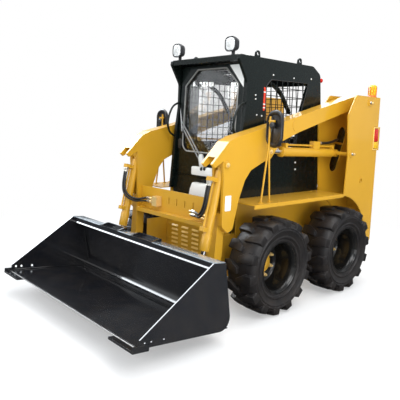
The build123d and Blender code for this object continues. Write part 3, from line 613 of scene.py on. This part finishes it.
def copied(piece, name, matrix):
    """A copy with its own mesh, moved by a matrix; a mirrored one is turned right side out."""
    twin = new_object(name, piece.data.copy())
    twin.data.transform(matrix)
    if matrix.determinant() < 0:
        twin.data.flip_normals()
    twin.data.name = name
    return twin


across_middle = Matrix.Scale(-1, 4, (0, 1, 0))


def doubled(name, piece):
    """A left piece and its twin across the middle, as one."""
    return joined(name, [piece, copied(piece, name, across_middle)])


def keep(piece, finish_name, body="root", replaced=(), slot=None):
    """Gives a finished piece its finish, its body and the CAD nodes it stands for."""
    piece.data.materials.clear()
    piece.data.materials.append(finishes[finish_name])
    slot or finish_name
    if body:
        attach(piece, body)
    if replaced:
        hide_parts(*replaced)


def keep_pair(piece, finish_name, bodies="root", slot=None):
    """Keeps a left piece and its twin across the middle, on one body or on a left and a right one."""
    twin = copied(piece, piece.name + "_right", across_middle)
    left, right = bodies if isinstance(bodies, tuple) else (bodies, bodies)
    keep(piece, finish_name, left, slot=slot)
    keep(twin, finish_name, right, slot=slot)


# Hoses, from the ports on the cylinders to the fittings, on the CAD tubes' own route points

tilt_top, tilt_eye = (954, 1269), (1145, 440)
lift_base, lift_eye = (-630, 1337), (438, 1367)
tilt_starts = ((1079.05, 1144.9), (1101.5, 1047.5))
right_runs = (
    # y at the port, then listed points
    (-587.5, [
        (1115, -577, 944), (1109, -553, 889), (1080, -515, 850), (1038, -472, 833), (996, -429, 839),
        (975, -380, 844), (975, -330, 844),
    ]),
    (-562.5, [
        (1112, -552, 950), (1100, -531, 901), (1071, -494, 866), (1030, -455, 852), (992, -418, 864),
        (975, -376, 874), (975, -330, 874),
    ]),
)
left_runs = (
    (587.5, [
        (1113, 577, 944), (1113, 552, 889), (1101, 509, 849), (1074, 457, 831), (1052, 402, 836),
        (1052, 352, 836),
    ]),
    (562.5, [
        (1110, 552, 951), (1108, 528, 900), (1095, 489, 865), (1068, 441, 852), (1046, 394, 862),
        (1046, 344, 862),
    ]),
)
lift_run = [
    (-344.6, 575, 1435.0), (-454.6, 575, 1432.0), (-574.9, 567, 1442.6), (-695.5, 539, 1459.2),
    (-795.8, 499, 1468.4),
]


def read_line(curve_object):
    """The points that a curve's own line passes through."""
    mesh = bpy.data.meshes.new_from_object(curve_object)
    points = [list(vertex.co) for vertex in mesh.vertices]
    bpy.data.meshes.remove(mesh)
    return points


def hose(name, node, points, diameter):
    """A bent hose from its port to its end."""
    piece = line_through(name, points, smooth=True, steps=10)
    line = read_line(piece)
    thickened(name, piece, diameter / 2, sides=4)
    keep(piece, "hose_rubber", None, [node])
    length = sum(math.dist(a, b) for a, b in zip(line, line[1:]))
    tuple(line[0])
    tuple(line[0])
    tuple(line[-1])
    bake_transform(piece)


def ferrule(name, start, towards, radius, body):
    """A crimped sleeve with a hexagon, from a port's face along the hose."""
    a, b = at(*start), at(*towards)
    along = (b - a).normalized()
    rows = [(-3, radius), (26, radius), (27, radius - 1.5), (32, radius - 1.5), (33, radius), (40, radius)]
    sleeve = turned(name, rows, a, along, sides=24, bevel=1)
    nut = turned(name, [(-4, radius + 4), (13, radius + 4)], a, along, sides=6, bevel=1.5)
    keep(joined(name, [sleeve, nut]), "zinc_steel", body)


def make_hoses():
    for side, runs in (("right", right_runs), ("left", left_runs)):
        barrel = f"tilt_barrel_{side}"
        for i, (y, run) in enumerate(runs, 1):
            points = [(x, y, z) for x, z in tilt_starts] + run
            hose(f"tilt_hose_{side}_{i}", f"tilt_hoses_{side}", points, 20)
            ferrule(f"tilt_ferrule_{side}_{i}", points[0], points[1], 12.5, barrel)
            ferrule(f"tilt_end_ferrule_{side}_{i}", points[-1], points[-2], 12.5, "arms")
    for side, hand in (("left", 1), ("right", -1)):
        barrel = f"lift_barrel_{side}"
        points = [(x, hand * y, z) for x, y, z in lift_run]
        hose(f"lift_hose_{side}", f"lift_hoses_{side}", points, 26)
        ferrule(f"lift_ferrule_{side}", points[0], points[1], 16, barrel)


make_hoses()


# Wheels, drawn about their own centre with +Y outwards

tyre_radius = 414
lugs_per_side = 14
lug_foot = 344
lug_taper = (0.86, 0.97, 1)
shoulder_y = 130
shoulder_drop = 11
lug_outline = [
    # x, y: a bent bar from the middle line over the shoulder
    (4, -8), (64, -8), (54, 81), (46, 149), (-46, 149), (-54, 81),
]
side_rows = [
    # across, radius: half of the section, from the crown to the bead
    (0, 389), (70, 388), (118, 378), (136, 362), (142, 351), (148, 346), (150, 340), (146, 334), (146, 330),
    (151, 325), (151, 318), (146, 311), (140, 294), (134, 274),
    (138, 268), (139, 262), (137, 256), (128, 252), (122, 240), (125, 235), (124, 229), (118, 211),
]
rim_rows = [
    # across, radius: the dished disc, the deep well, the lip and the back
    (-110, 80), (-96, 80), (-96, 158), (-91, 174), (-78, 186), (40, 189), (62, 187), (78, 192), (100, 196),
    (112, 206), (126, 217), (126, 226), (118, 226), (118, 210.5), (-118, 210.5), (-118, 226), (-126, 226),
    (-126, 203), (-110, 200),
]
hub_rows = [(-112, 88), (-66, 88), (-60, 83), (-57, 60), (-54, 56), (-52, 40)]
nuts_per_wheel = 8
nut_circle = 131
disc_face = -96
valve_rows = [(0, 5), (26, 5), (26, 7), (36, 7)]
valve_foot = Vector((0.15, -0.09, 0.09))


def tyre_lug(hand, angle):
    """A lug, narrower at its top, with its upper face wrapped on the tyre."""
    piece = start_face([Vector((x, hand * y, lug_foot)) * mm for x, y in lug_outline])
    height = (tyre_radius - lug_foot) * mm
    bpy.ops.mesh.extrude_region_move(TRANSFORM_OT_translate={"value": (0, 0, height)})
    bpy.ops.transform.resize(value=lug_taper)
    low_top = (tyre_radius - shoulder_drop) * mm
    choose_corners(piece, lambda co: co.z > low_top and abs(co.y) > shoulder_y * mm)
    bpy.ops.transform.translate(value=(0, 0, -shoulder_drop * mm))
    settle(piece, "lug", bevel=5, angle=25)
    for vertex in piece.data.vertices:
        turn = angle + vertex.co.x / (tyre_radius * mm)
        vertex.co = (vertex.co.z * math.sin(turn), vertex.co.y, vertex.co.z * math.cos(turn))
    return piece


def tyre_shape():
    rows = [(-v, r) for v, r in reversed(side_rows[1:])] + side_rows
    pieces = [turned("tyre", rows, sides=80, closed=True)]
    for i in range(2 * lugs_per_side):
        pieces.append(tyre_lug(1 if i % 2 else -1, math.pi * (i + 0.5) / lugs_per_side))
    return joined("tyre", pieces)


def wheel_nuts():
    pieces = []
    for i in range(nuts_per_wheel):
        t = 2 * math.pi * (i + 0.5) / nuts_per_wheel
        foot = Vector((nut_circle * math.cos(t), disc_face, nut_circle * math.sin(t))) * mm
        nut_rows = [(-2, 21), (5, 21), (5, 17), (24, 17)]
        pieces.append(turned("nut", nut_rows, foot, sides=6, bevel=1.5))
        pieces.append(turned("stud", [(2, 9), (38, 9)], foot, sides=12, bevel=1))
    return joined("nuts", pieces)


def make_wheels():
    rim = turned("rim", rim_rows, sides=80, closed=True)
    hub = turned("hub", hub_rows, sides=40, bevel=2)
    valve = turned("valve", valve_rows, valve_foot, sides=10)
    shapes = (
        # name, shape, finish, slot, node that it replaces
        ("tyre", tyre_shape(), "tyre_rubber", None, "tyre_"),
        ("rim", rim, "rim_paint", "black_paint", "rim_"),
        ("hub", hub, "yellow_paint", None, None),
        ("nuts", joined("nuts", [wheel_nuts(), valve]), "brass", "zinc_steel", None),
    )
    for name, shape, finish_name, slot, node in shapes:
        for wheel, place in wheel_places.items():
            turn = Matrix.Rotation(math.pi if wheel.endswith("right") else 0.0, 4, "Z")
            piece = copied(shape, f"{wheel}_{name}", Matrix.Translation(place) @ turn)
            replaced = [f"{node}{wheel}"] if node else []
            keep(piece, finish_name, f"wheel_{wheel}", replaced, slot)
        bpy.data.objects.remove(shape)


make_wheels()


# Fasteners

pins = ((-899, 1844), (-630, 1337))
cab_screws = ((459, 1840), (456, 1807), (432, 1673), (365, 1667), (236, 2028), (-60, 2025), (-330, 2040))
panel_screws = ((-161, 1244), (-168, 1177), (560, 1240), (560, 1130))


def scatter(name, shape, rows):
    """Copies of one shape, drawn about the origin along +Y, at rows of x, y, z and direction."""
    pieces = []
    for x, y, z, direction in rows:
        turn = Vector((0, 1, 0)).rotation_difference(Vector(direction)).to_matrix().to_4x4()
        pieces.append(copied(shape, name, Matrix.Translation(at(x, y, z)) @ turn))
    bpy.data.objects.remove(shape)
    return joined(name, pieces)


def hex_bolt(radius):
    washer = turned("washer", [(-1, 1.5 * radius), (2.5, 1.5 * radius)], sides=24, bevel=0.6)
    head = turned("head", [(1, radius), (1 + 0.8 * radius, radius)], sides=6, bevel=0.12 * radius)
    return joined("bolt", [washer, head])


def dome_screw(radius):
    rows = [(-1, radius), (1.5, radius)]
    rows += [(0.45 * radius + 1.5, 0.75 * radius), (0.6 * radius + 1.5, 0.3 * radius)]
    return turned("screw", rows, sides=16)


def both_sides(y, places):
    """Rows that face outwards on the left side and the right, at one distance from the middle."""
    rows = [(x, y, z, (0, 1, 0)) for x, z in places]
    return rows + [(x, -y, z, (0, -1, 0)) for x, z in places]


def make_fasteners():
    rows = both_sides(tower_side + 12, [(x - 36, z) for x, z in pins])
    keep(scatter("keeper_bolts", hex_bolt(9), rows), "brass", slot="zinc_steel")
    keep(scatter("pin_caps", dome_screw(15), both_sides(tower_side + 11, pins)), "zinc_steel")
    rows = both_sides(arm_side + 7, (lift_eye, tilt_top))
    keep(scatter("arm_pin_bolts", hex_bolt(13), rows), "brass", "arms", slot="zinc_steel")
    for name, radius, places in (("cab_screws", 7, cab_screws), ("panel_screws", 9, panel_screws)):
        screws = scatter(name, dome_screw(radius), both_sides(cab_side, places))
        keep(screws, "white_label", slot="zinc_steel")
    rows = []
    for hand in (1, -1):
        rows += [(x, hand * y, ledge_top, (0, 0, 1)) for x in (420, 0, -420) for y in (480, 745)]
    keep(scatter("ledge_bolts", hex_bolt(7), rows), "yellow_paint")
    ahead = (1, 0, 0)
    rows = [(front_plate, y, z, ahead) for y in (-410, 410) for z in (300, 440, 580)]
    rows += [(front_plate + 8, y, z, ahead) for y in (150, 390) for z in (370, 590)]
    keep(scatter("front_bolts", hex_bolt(8), rows), "yellow_paint")


make_fasteners()


# Lamps

tower_foot, tower_height, tower_lean = (-1143, 413), 1492, 42
work_light_z = 2245
beacon_foot = at(-1056, 700, 1905)
beacon_rings = 6
beacon_rib_count = 8


def tower_back(z):
    """X of the towers' leaning rear face at height z."""
    return tower_foot[0] + tower_lean * (z - tower_foot[1]) / tower_height


def leaning(low, high, near, far):
    """An outline between two heights and two distances from the towers' rear face."""
    return [
        (tower_back(low) + near, low), (tower_back(high) + near, high),
        (tower_back(high) + far, high), (tower_back(low) + far, low),
    ]


def make_work_lights():
    body_rows = [(622, 0.55), (628, 0.88), (664, 1.06), (690, 1.10), (692, 1.04), (686, 0.96), (680, 0.93)]
    lens_rows = [(681, 0.93), (689, 0.90), (693, 0.66), (694.5, 0.30)]
    housings, bulbs, lenses = [], [], []
    for hand in (1, -1):
        y = hand * work_light_y
        square = rounded(112, 112, 38, centre=(y, work_light_z))
        housings.append(drawn("housing", square, body_rows, axis="X", bevel=1.5))
        stalk = [(-12, 0), (12, 0), (12, 28), (20, 36), (-20, 36), (-12, 28)]
        stalk = [(y + u, cab_roof + v) for u, v in stalk]
        housings.append(drawn("stalk", stalk, [(636, 1), (656, 1)], axis="X", bevel=2))
        foot = rounded(50, 44, 8, centre=(635, y))
        housings.append(drawn("foot", foot, [(cab_roof - 1, 1), (cab_roof + 5, 1)], axis="Z", bevel=1.5))
        lenses.append(drawn("lens", square, lens_rows, axis="X", bevel=0.8))
        ring = rounded(46, 46, 20, centre=(y, work_light_z))
        bulbs.append(drawn("bulb", ring, [(688, 1.1), (696, 1)], axis="X"))
    keep(joined("work_lamp_housings", housings), "lamp_body", replaced=["work_lights"])
    keep(joined("work_lamp_lenses", lenses), "white_lens", slot="glass")
    keep(joined("work_lamp_bulbs", bulbs), "pale_metal", slot="chrome_rod")


def make_beacon():
    up = (0, 0, 1)
    rows = [(0, 46), (9, 46), (13, 42), (22, 41)]
    base = turned("beacon_base", rows, beacon_foot, up, sides=40, bevel=1)
    keep(base, "orange_base", replaced=["beacon"], slot="red_lens")
    rows = [(18, 38)]
    for i in range(beacon_rings):
        rows += [(24 + 14 * i, 44), (29 + 14 * i, 40), (33 + 14 * i, 40)]
    rows += [(110, 42), (120, 36), (126, 25), (129, 9)]
    keep(turned("beacon_dome", rows, beacon_foot, up, sides=40), "amber_lens")
    ribs = []
    for i in range(beacon_rib_count):
        t = 2 * math.pi * i / beacon_rib_count
        spot = beacon_foot + Vector((42 * math.cos(t), 42 * math.sin(t), 28)) * mm
        ribs.append(turned("rib", [(0, 3), (76, 3)], spot, up, sides=8))
    keep(joined("beacon_ribs", ribs), "orange_base", slot="red_lens")


def make_tail_lamps():
    lamps = (("red", 1443, 1597, "red_lens", ["tail_lamps"]), ("amber", 1383, 1440, "amber_lens", []))
    for colour, low, high, lens_finish, replaced in lamps:
        name = f"tail_lens_{colour}"
        pieces = [drawn(name, leaning(low, high, 0, -44), [(683, 1), (759, 1)], bevel=7, segments=3)]
        for y in range(695, 748, 13):
            rib = leaning(low + 12, high - 12, -42, -46)
            pieces.append(drawn("rib", rib, [(y - 2.5, 1), (y + 2.5, 1)], bevel=1))
        keep(doubled(name, joined(name, pieces)), lens_finish, replaced=replaced)
    rows = [(tower_side - 2, 1), (tower_side + 13, 1), (tower_side + 17, 0.9)]
    side_lenses = (("red", 1462, 1590, "red_lens"), ("white", 1392, 1458, "amber_lens"))
    for colour, low, high, lens_finish in side_lenses:
        lens = drawn(f"side_lens_{colour}", leaning(low, high, 14, 82), rows, bevel=3)
        keep_pair(lens, lens_finish)
    corners = ((8, 1380), (88, 1380), (88, 1602), (8, 1602))
    line = [(tower_back(z) + reach, tower_side + 4, z) for reach, z in corners]
    # The yellow frame gets the lighter copy of the paint, a painted highlight.
    keep_pair(pipe("side_lens_frame", line, 7, closed=True), "pale_yellow", slot="yellow_paint")


def make_rear_lamp():
    square = rounded(80, 94, 16, centre=(rear_lamp_y, 2112))
    body_rows = [(-548, 0.82), (-545, 0.98), (-530, 1.0), (-484, 0.9)]
    body = drawn("rear_lamp_body", square, body_rows, axis="X", bevel=1.5)
    arm = rounded(28, 22, 4, centre=(rear_lamp_y, 2084))
    arm = drawn("rear_lamp_arm", arm, [(-486, 1), (-462, 1)], axis="X")
    keep(joined("rear_lamp_housing", [body, arm]), "lamp_body", replaced=["rear_lamp"])
    lens = drawn("rear_lamp_lens", square, [(-546, 0.84), (-549.5, 0.7)], axis="X", bevel=0.8)
    keep(lens, "white_lens", slot="glass")
    rows = [(0, 22), (26, 22), (32, 15)]
    marker = turned("side_marker", rows, at(-540, 405, 2045), (-1, 0, 0.05), sides=24, bevel=1)
    keep(marker, "red_lens")


make_work_lights()
make_beacon()
make_tail_lamps()
make_rear_lamp()


# Mirrors on their stands

mirror_y, mirror_z = 744.5, 1560
mirror_width, mirror_length = 165, 310
rod_x, rod_y = 553, 712
rod_top, rod_turn = 1660, 1435


def make_mirrors():
    outline = rounded(mirror_width, mirror_length, mirror_width / 2 - 0.1, centre=(mirror_y, mirror_z))
    rows = [
        (514, 0.80), (513, 0.93), (517, 0.985), (524, 1.0), (536, 0.99), (544, 0.95), (547, 0.90),
        (545, 0.83), (538, 0.78), (533, 0.74), (531, 0.60),
    ]
    housing = drawn("mirror_housing", outline, rows, axis="X", bevel=0)
    keep(doubled("mirror_housings", housing), "mirror_frame", replaced=["mirrors"])
    pane = drawn("mirror_pane", outline, [(512.2, 0.84), (514.5, 0.86)], axis="X", bevel=0.5)
    keep_pair(pane, "mirror_pane", slot="chrome_rod")
    rods = [pipe("rod", [(rod_x, rod_y, rod_top), (rod_x, rod_y, rod_turn)], 8)]
    for foot_x in (507, 616):
        rods.append(pipe("rod", [(rod_x, rod_y, rod_turn + 8), (foot_x, rod_y, ledge_top + 3)], 8))
        foot = rounded(34, 30, 6, centre=(foot_x, rod_y))
        rods.append(drawn("foot", foot, [(ledge_top - 1, 1), (ledge_top + 7, 1)], axis="Z", bevel=1.5))
    keep_pair(joined("mirror_rods", rods), "yellow_paint")
    clip = drawn("clip", rounded(58, 18, 6, centre=(mirror_y - 16, 1622)), [(541, 1), (560, 1)], axis="X")
    ball_rows = [(0, 20), (8, 26), (20, 26), (30, 18)]
    ball = turned("clip_ball", ball_rows, at(546, mirror_y - 4, 1588), (1, 0, 0), sides=24)
    keep_pair(clip, "yellow_paint")
    keep_pair(ball, "black_plastic")


make_mirrors()


# Cab fittings

def door_face(z, out=0.0):
    """X of the door's leaning outer face at height z."""
    return 598 - (z - 1092) * 0.045 + out


def before_door(y, z, out):
    return (door_face(z, out), y, z)


def make_door_trim():
    angles = [math.pi / 2 * i / 8 for i in range(1, 8)]
    corner = [(255 + 90 * math.cos(t), 1402 - 90 * math.sin(t)) for t in angles]
    seal = [(-y, z) for y, z in reversed(corner)]
    seal += [(-345, 1402), (-345, 1930), (-185, 2074), (185, 2074), (345, 1930), (345, 1402)]
    outline = [before_door(y, z, 1) for y, z in seal + corner]
    keep(pipe("glass_seal", outline, 7, closed=True), "grey_seal", "front_door", slot="mirror_frame")
    # A white plate in the door's upper corner: a painted reflection of the white studio on the glossy corner.
    middle = door_face(2040)
    triangle = [(405, 1900), (405, 2096), (222, 2096)]
    trim = drawn("door_corner_trim", triangle, [(middle - 6, 1), (middle + 2, 1)], axis="X", bevel=1.5)
    edit(trim)
    for vertex in bmesh.from_edit_mesh(trim.data).verts:
        vertex.co.x += (door_face(vertex.co.z / mm) - middle) * mm
    bmesh.update_edit_mesh(trim.data)
    bpy.ops.object.mode_set(mode="OBJECT")
    keep(trim, "white_plastic", "front_door")
    screw = scatter("door_corner_screw", dome_screw(9), [(middle - 4, 368, 2050, (1, 0, 0))])
    keep(screw, "black_plastic", "front_door")
    for z in (1180, 1560, 2000):
        foot = at(door_face(z) - 14, 404, z)
        knuckle = turned(f"door_knuckle_{z}", [(-28, 13), (28, 13)], foot, (-0.045, 0, 1), sides=20, bevel=2)
        keep(knuckle, "black_paint", "front_door")
    latch = rounded(44, 96, 12, centre=(-380, 1380))
    latch = drawn("door_latch", latch, [(582, 1), (598, 0.9)], axis="X", bevel=3)
    keep(latch, "black_plastic", "front_door")


def make_wiper():
    spindles = ((5, 1165), (47, 1170))
    motor = rounded(287, 80, 16, centre=(2.5, 1142))
    motor = drawn("wiper_motor", motor, [(594, 1), (640, 1), (647, 0.9)], axis="X", bevel=4)
    keep(motor, "white_plastic", "front_door", ["wiper"])
    arms = [
        pipe("wiper_arm", [before_door(*spindles[0], 20), before_door(-352, 1548, 16)], 6.5),
        pipe("wiper_arm", [before_door(*spindles[1], 20), before_door(-366, 1604, 16)], 6.5),
        pipe("wiper_spine", [before_door(-342, 1500, 20), before_door(-383, 1706, 20)], 5),
    ]
    keep(joined("wiper_arms", arms), "dull_metal", "front_door", slot="zinc_steel")
    blade = [(-1, 1484), (6, 1484), (6, 1722), (-1, 1722)]
    blade = [(u - 342 - (v - 1484) * 45 / 238, v) for u, v in blade]
    keep(drawn("wiper_blade", blade, [(580, 1), (594, 1)], axis="X", bevel=1), "black_plastic", "front_door")
    for i, (y, z) in enumerate(spindles, 1):
        rows = [(30, 17), (56, 17), (60, 12)]
        cap = turned(f"wiper_cap_{i}", rows, at(door_face(z), y, z), (1, 0, 0.045), sides=24, bevel=1.5)
        keep(cap, "black_plastic", "front_door")
    foot, head = at(*before_door(4, 1186, 40)), at(*before_door(-40, 1300, 30))
    rows = [(-6, 20), (4, 27), (40, 29), (92, 27), (116, 20), (124, 9)]
    drive = turned("wiper_drive", rows, foot, head - foot, sides=28)
    keep(drive, "pale_metal", "front_door", slot="zinc_steel")


def panel_x(z):
    """X of the foot panel's leaning front face at height z."""
    return front_plate - (z - 640) * 62 / 426


def make_washer():
    foot, top = panel_x(850), panel_x(1035)
    bottle = [(foot + 1, 850), (foot + 88, 850), (top + 88, 980), (top + 62, 1035), (top + 1, 1035)]
    rows = [(-100, 0.94), (-92, 1), (182, 1), (190, 0.94)]
    body = drawn("washer_tank", bottle, rows, bevel=10, segments=3)
    keep(body, "white_plastic", replaced=["washer_bottle"])
    base = at(top + 34, 120, 1030)
    cap = turned("washer_cap", [(0, 24), (14, 24), (18, 20)], base, (0, 0, 1), sides=20, bevel=1.5)
    keep(cap, "black_plastic")
    strap = [(foot, 905), (foot + 91, 905), (foot + 91, 925), (foot, 925)]
    keep(drawn("washer_strap", strap, [(-103, 1), (193, 1)]), "black_plastic")


def make_side_details():
    brace = [(246, 400, 1975), (158, 400, 1947), (51, 400, 1884), (-18, 400, 1798), (-88, 400, 1710)]
    keep_pair(pipe("roof_brace", brace, 20, smooth=True, sides=5), "black_paint")
    strap_rows = [(cab_side - 1, 1), (cab_side + 4, 0.96)]
    strap = drawn("exit_strap", rounded(23, 206, 9, centre=(342, 1813)), strap_rows, bevel=1.5)
    keep(strap, "red_strap", slot="red_lens")
    bands = []
    for z in (1872, 1768, 1738):
        band_rows = [(cab_side - 2, 1), (cab_side + 5.5, 1)]
        bands.append(drawn("band", rounded(25, 10, 3, centre=(342, z)), band_rows, bevel=1))
    keep(joined("exit_strap_bands", bands), "white_label", slot="zinc_steel")
    plate_rows = [(arm_side - 1, 1), (arm_side + 1.5, 1)]
    plate = drawn("plain_plate", rounded(68, 124, 9, centre=(929, 962)), plate_rows, bevel=0.6)
    keep_pair(plate, "white_label", "arms", slot="white_plastic")
    window = ((322, 1400), (322, 1925), (261, 1985), (-294, 1995), (-190, 1696), (-150, 1400))
    seal = [(x, cab_side, z) for x, z in window]
    keep_pair(pipe("window_seal", seal, 5, closed=True), "black_plastic")
    angles = (-1.1, -0.7, -0.3, 0.1, 0.5, 0.9)
    weld = [(96 + 60 * math.cos(t), arm_side + 0.5, 1600 + 60 * math.sin(t)) for t in angles]
    keep_pair(pipe("arm_weld", weld, 3.5, smooth=True), "yellow_paint", "arms")
    strip = pipe("roof_strip", [(664, 402, cab_roof), (560, 452, cab_roof)], 4)
    keep(strip, "white_label", slot="white_plastic")


make_door_trim()
make_wiper()
make_washer()
make_side_details()


# Front of the chassis, the coupler and the rear

def make_louvres():
    """Raised hoods over the front plate's slots."""
    front = at(front_plate + 10, 0, 0)
    hoods = []
    for column in range(3):
        for row in range(6):
            y, z = -330 + column * 150, 360 + row * 42
            low, high = (front_plate - 1, y - 46, z + 6), (front_plate + 12, y + 46, z + 22)
            hood = brick("hood", low, high, bevel=0)
            edit(hood)
            choose_corners(hood, lambda co: co.x > front.x and co.z > (z + 20) * mm)
            bpy.ops.transform.translate(value=(-0.011, 0, 0))
            hoods.append(settle(hood, "hood", bevel=3, segments=3))
    # The yellow hoods get the lighter copy of the paint, a painted highlight.
    keep(joined("louvre_hoods", hoods), "pale_yellow", slot="yellow_paint")
    rows = [(front_plate - 1, 1), (front_plate + 7, 1), (front_plate + 9, 0.985)]
    cover = drawn("inspection_cover", rounded(280, 260, 14, centre=(270, 480)), rows, axis="X", bevel=1.5)
    keep(cover, "yellow_paint")


def make_guards():
    """Plates beside the front plate, and a black plate behind each tower's slot: painted shade where the
    inside of the tower is in shadow.
    """
    outline = [(655, 330), (820, 330), (905, 420), (905, 650), (655, 650)]
    keep_pair(drawn("front_guard", outline, [(462, 1), (468, 1)]), "yellow_paint")
    # Black plate in the slot: painted shade for the shadowed inside of the tower.
    shade_plate = drawn("slot_backing", rounded(330, 560, 60, centre=(-860, 1360)), [(450, 1), (458, 1)])
    keep_pair(shade_plate, "black_paint")


def make_rear_details():
    """Hinge leaves and latch of the rear door, and the hood's grips."""
    leaves = []
    for z in (540, 900, 1260):
        leaves.append(brick("leaf", (rear_door - 6, 330, z - 26), (rear_door + 1, 398, z + 26), bevel=1.5))
        for y in (348, 380):
            foot = at(rear_door - 5, y, z)
            leaves.append(turned("leaf_bolt", [(0, 9), (6, 9)], foot, (-1, 0, 0), sides=6, bevel=1))
    keep(joined("rear_door_leaves", leaves), "yellow_paint", "rear_door")
    latch = []
    for size, first, last, scale in (((64, 110, 12), 1, -6, 0.96), ((38, 74, 8), -5, -15, 0.9)):
        rows = [(rear_door + first, 1), (rear_door + last, scale)]
        latch.append(drawn("latch", rounded(*size, centre=(-388, 900)), rows, axis="X"))
    keep(joined("rear_door_latch", latch), "black_plastic", "rear_door")
    grips = []
    for y in (385, -385):
        grips.append(pipe("grip", [(-720, y, 1448), (-720, y, 1486), (-860, y, 1474), (-860, y, 1434)], 8))
    keep(joined("hood_grips", grips), "black_paint")


def make_coupler():
    nodes["hose_fittings"].data.materials[0] = finishes["brass"]
    nuts = []
    for z in (844, 874):
        for rows, sides in (([(2, 19), (18, 19)], 6), ([(24, 17), (40, 17)], 24)):
            nuts.append(turned("nut", rows, at(975, -276, z), (0, -1, 0), sides=sides, bevel=1.5))
    keep(joined("coupler_nuts", nuts), "brass", "arms", slot="zinc_steel")


def make_gland(kind, base, eye, length, radius, sleeve):
    """A gland with its sleeve round the open end of each barrel."""
    a, b = at(base[0], arm_middle, base[1]), at(eye[0], arm_middle, eye[1])
    rows = [(length - 30, radius), (length + sleeve, radius)]
    ring = turned(f"{kind}_gland", rows, a, b - a, sides=40, bevel=2.5)
    keep_pair(ring, "yellow_paint", (f"{kind}_barrel_left", f"{kind}_barrel_right"))


make_louvres()
make_guards()
make_rear_details()
make_coupler()
make_gland("tilt", tilt_top, tilt_eye, 600, 40, 100)
make_gland("lift", lift_base, lift_eye, 860, 46, 1)


# Seat and controls

pad_cuts = 15
channel_depth = 7
channel_width = 0.12
pull_along_height = 7
pull_along_width = 5


def cushion(name, low, high, up, swell, channels):
    """A stuffed pad, crowned along axis up, with its sides pulled in and sewn channels across it."""
    a, b = at(*low), at(*high)
    piece = start_block(a, b)
    bpy.ops.mesh.subdivide(number_cuts=pad_cuts)
    settle(piece, name)
    centre, half = (a + b) / 2, [abs(v - u) / 2 for u, v in zip(a, b)]
    along = 0 if up == 2 else 2
    flat = [i for i in range(3) if i != up]
    for vertex in piece.data.vertices:
        u = [(vertex.co[i] - centre[i]) / half[i] for i in range(3)]
        crown = (1 - u[flat[0]] ** 4) * (1 - u[flat[1]] ** 4)
        if u[up] > 0.99:
            groove = math.exp(-((u[along] * channels % 1 - 0.5) / channel_width) ** 2) * crown
            vertex.co[up] += (crown * swell - swell - groove * channel_depth) * mm
        for i, other in (flat, reversed(flat)):
            pull = pull_along_height * (1 - u[up] ** 2) + pull_along_width * (1 - u[other] ** 2)
            vertex.co[i] -= math.copysign(pull * mm, u[i]) * abs(u[i]) ** 6
    modify(piece, "SUBSURF", levels=1, render_levels=1)
    bpy.ops.object.shade_smooth()
    return piece


def make_seat():
    base = cushion("seat_cushion", (-330, -230, 901), (118, 230, 992), up=2, swell=16, channels=4)
    keep(base, "seat_vinyl", replaced=["seat"])
    back = cushion("seat_back", (-408, -230, 905), (-331, 230, 1479), up=0, swell=16, channels=5)
    keep(back, "seat_vinyl")
    rows = [(0, 44)]
    for i in range(5):
        rows += [(8 + 16 * i, 42 - 5 * i), (16 + 16 * i, 32 - 4 * i)]
    for side, y in (("left", 300), ("right", -300)):
        boot = turned(f"lever_boot_{side}", rows, at(301, y, 638), (0.06, 0, 1), sides=28)
        keep(boot, "black_plastic")


make_seat()


# Bucket details, drawn flat from the bucket's lower rear corner and then tipped back

bucket_corner, bucket_curl = (1211, 104), math.radians(6.2)
bucket_side = 1000
weld_y = 988


def tipped(piece):
    """Tips a piece drawn flat about the bucket's corner and puts it in place."""
    corner = at(bucket_corner[0], 0, bucket_corner[1])
    turn = Matrix.Rotation(-bucket_curl, 4, "Y")
    piece.data.transform(Matrix.Translation(corner) @ turn @ Matrix.Translation(-at(0, 0, 0)))
    return piece


def make_bucket_details():
    strips = []
    for low, high in ((-bucket_side, -511), (-212, -22), (281, bucket_side)):
        strips.append(brick("flange", (142, low, 503), (252, high, 510.5), bevel=2))
    # The flange strips get a painted sky reflection in place of their black paint.
    keep(tipped(joined("flange_strips", strips)), "flange_black", "bucket", slot="bucket_black")
    edge = brick("cutting_edge_wear", (776, -bucket_side, -3), (834, bucket_side, 3), bevel=1.5)
    keep(tipped(edge), "worn_steel", "bucket", slot="zinc_steel")
    welds = []
    for y in (weld_y, -weld_y):
        welds.append(pipe("weld", [(30, y, 14), (250, y, 14), (500, y, 14), (800, y, 14)], 5))
        welds.append(pipe("weld", [(32, y, 30), (80, y, 200), (130, y, 400)], 5))
    keep(tipped(joined("bucket_welds", welds)), "bucket_black", "bucket")


make_bucket_details()
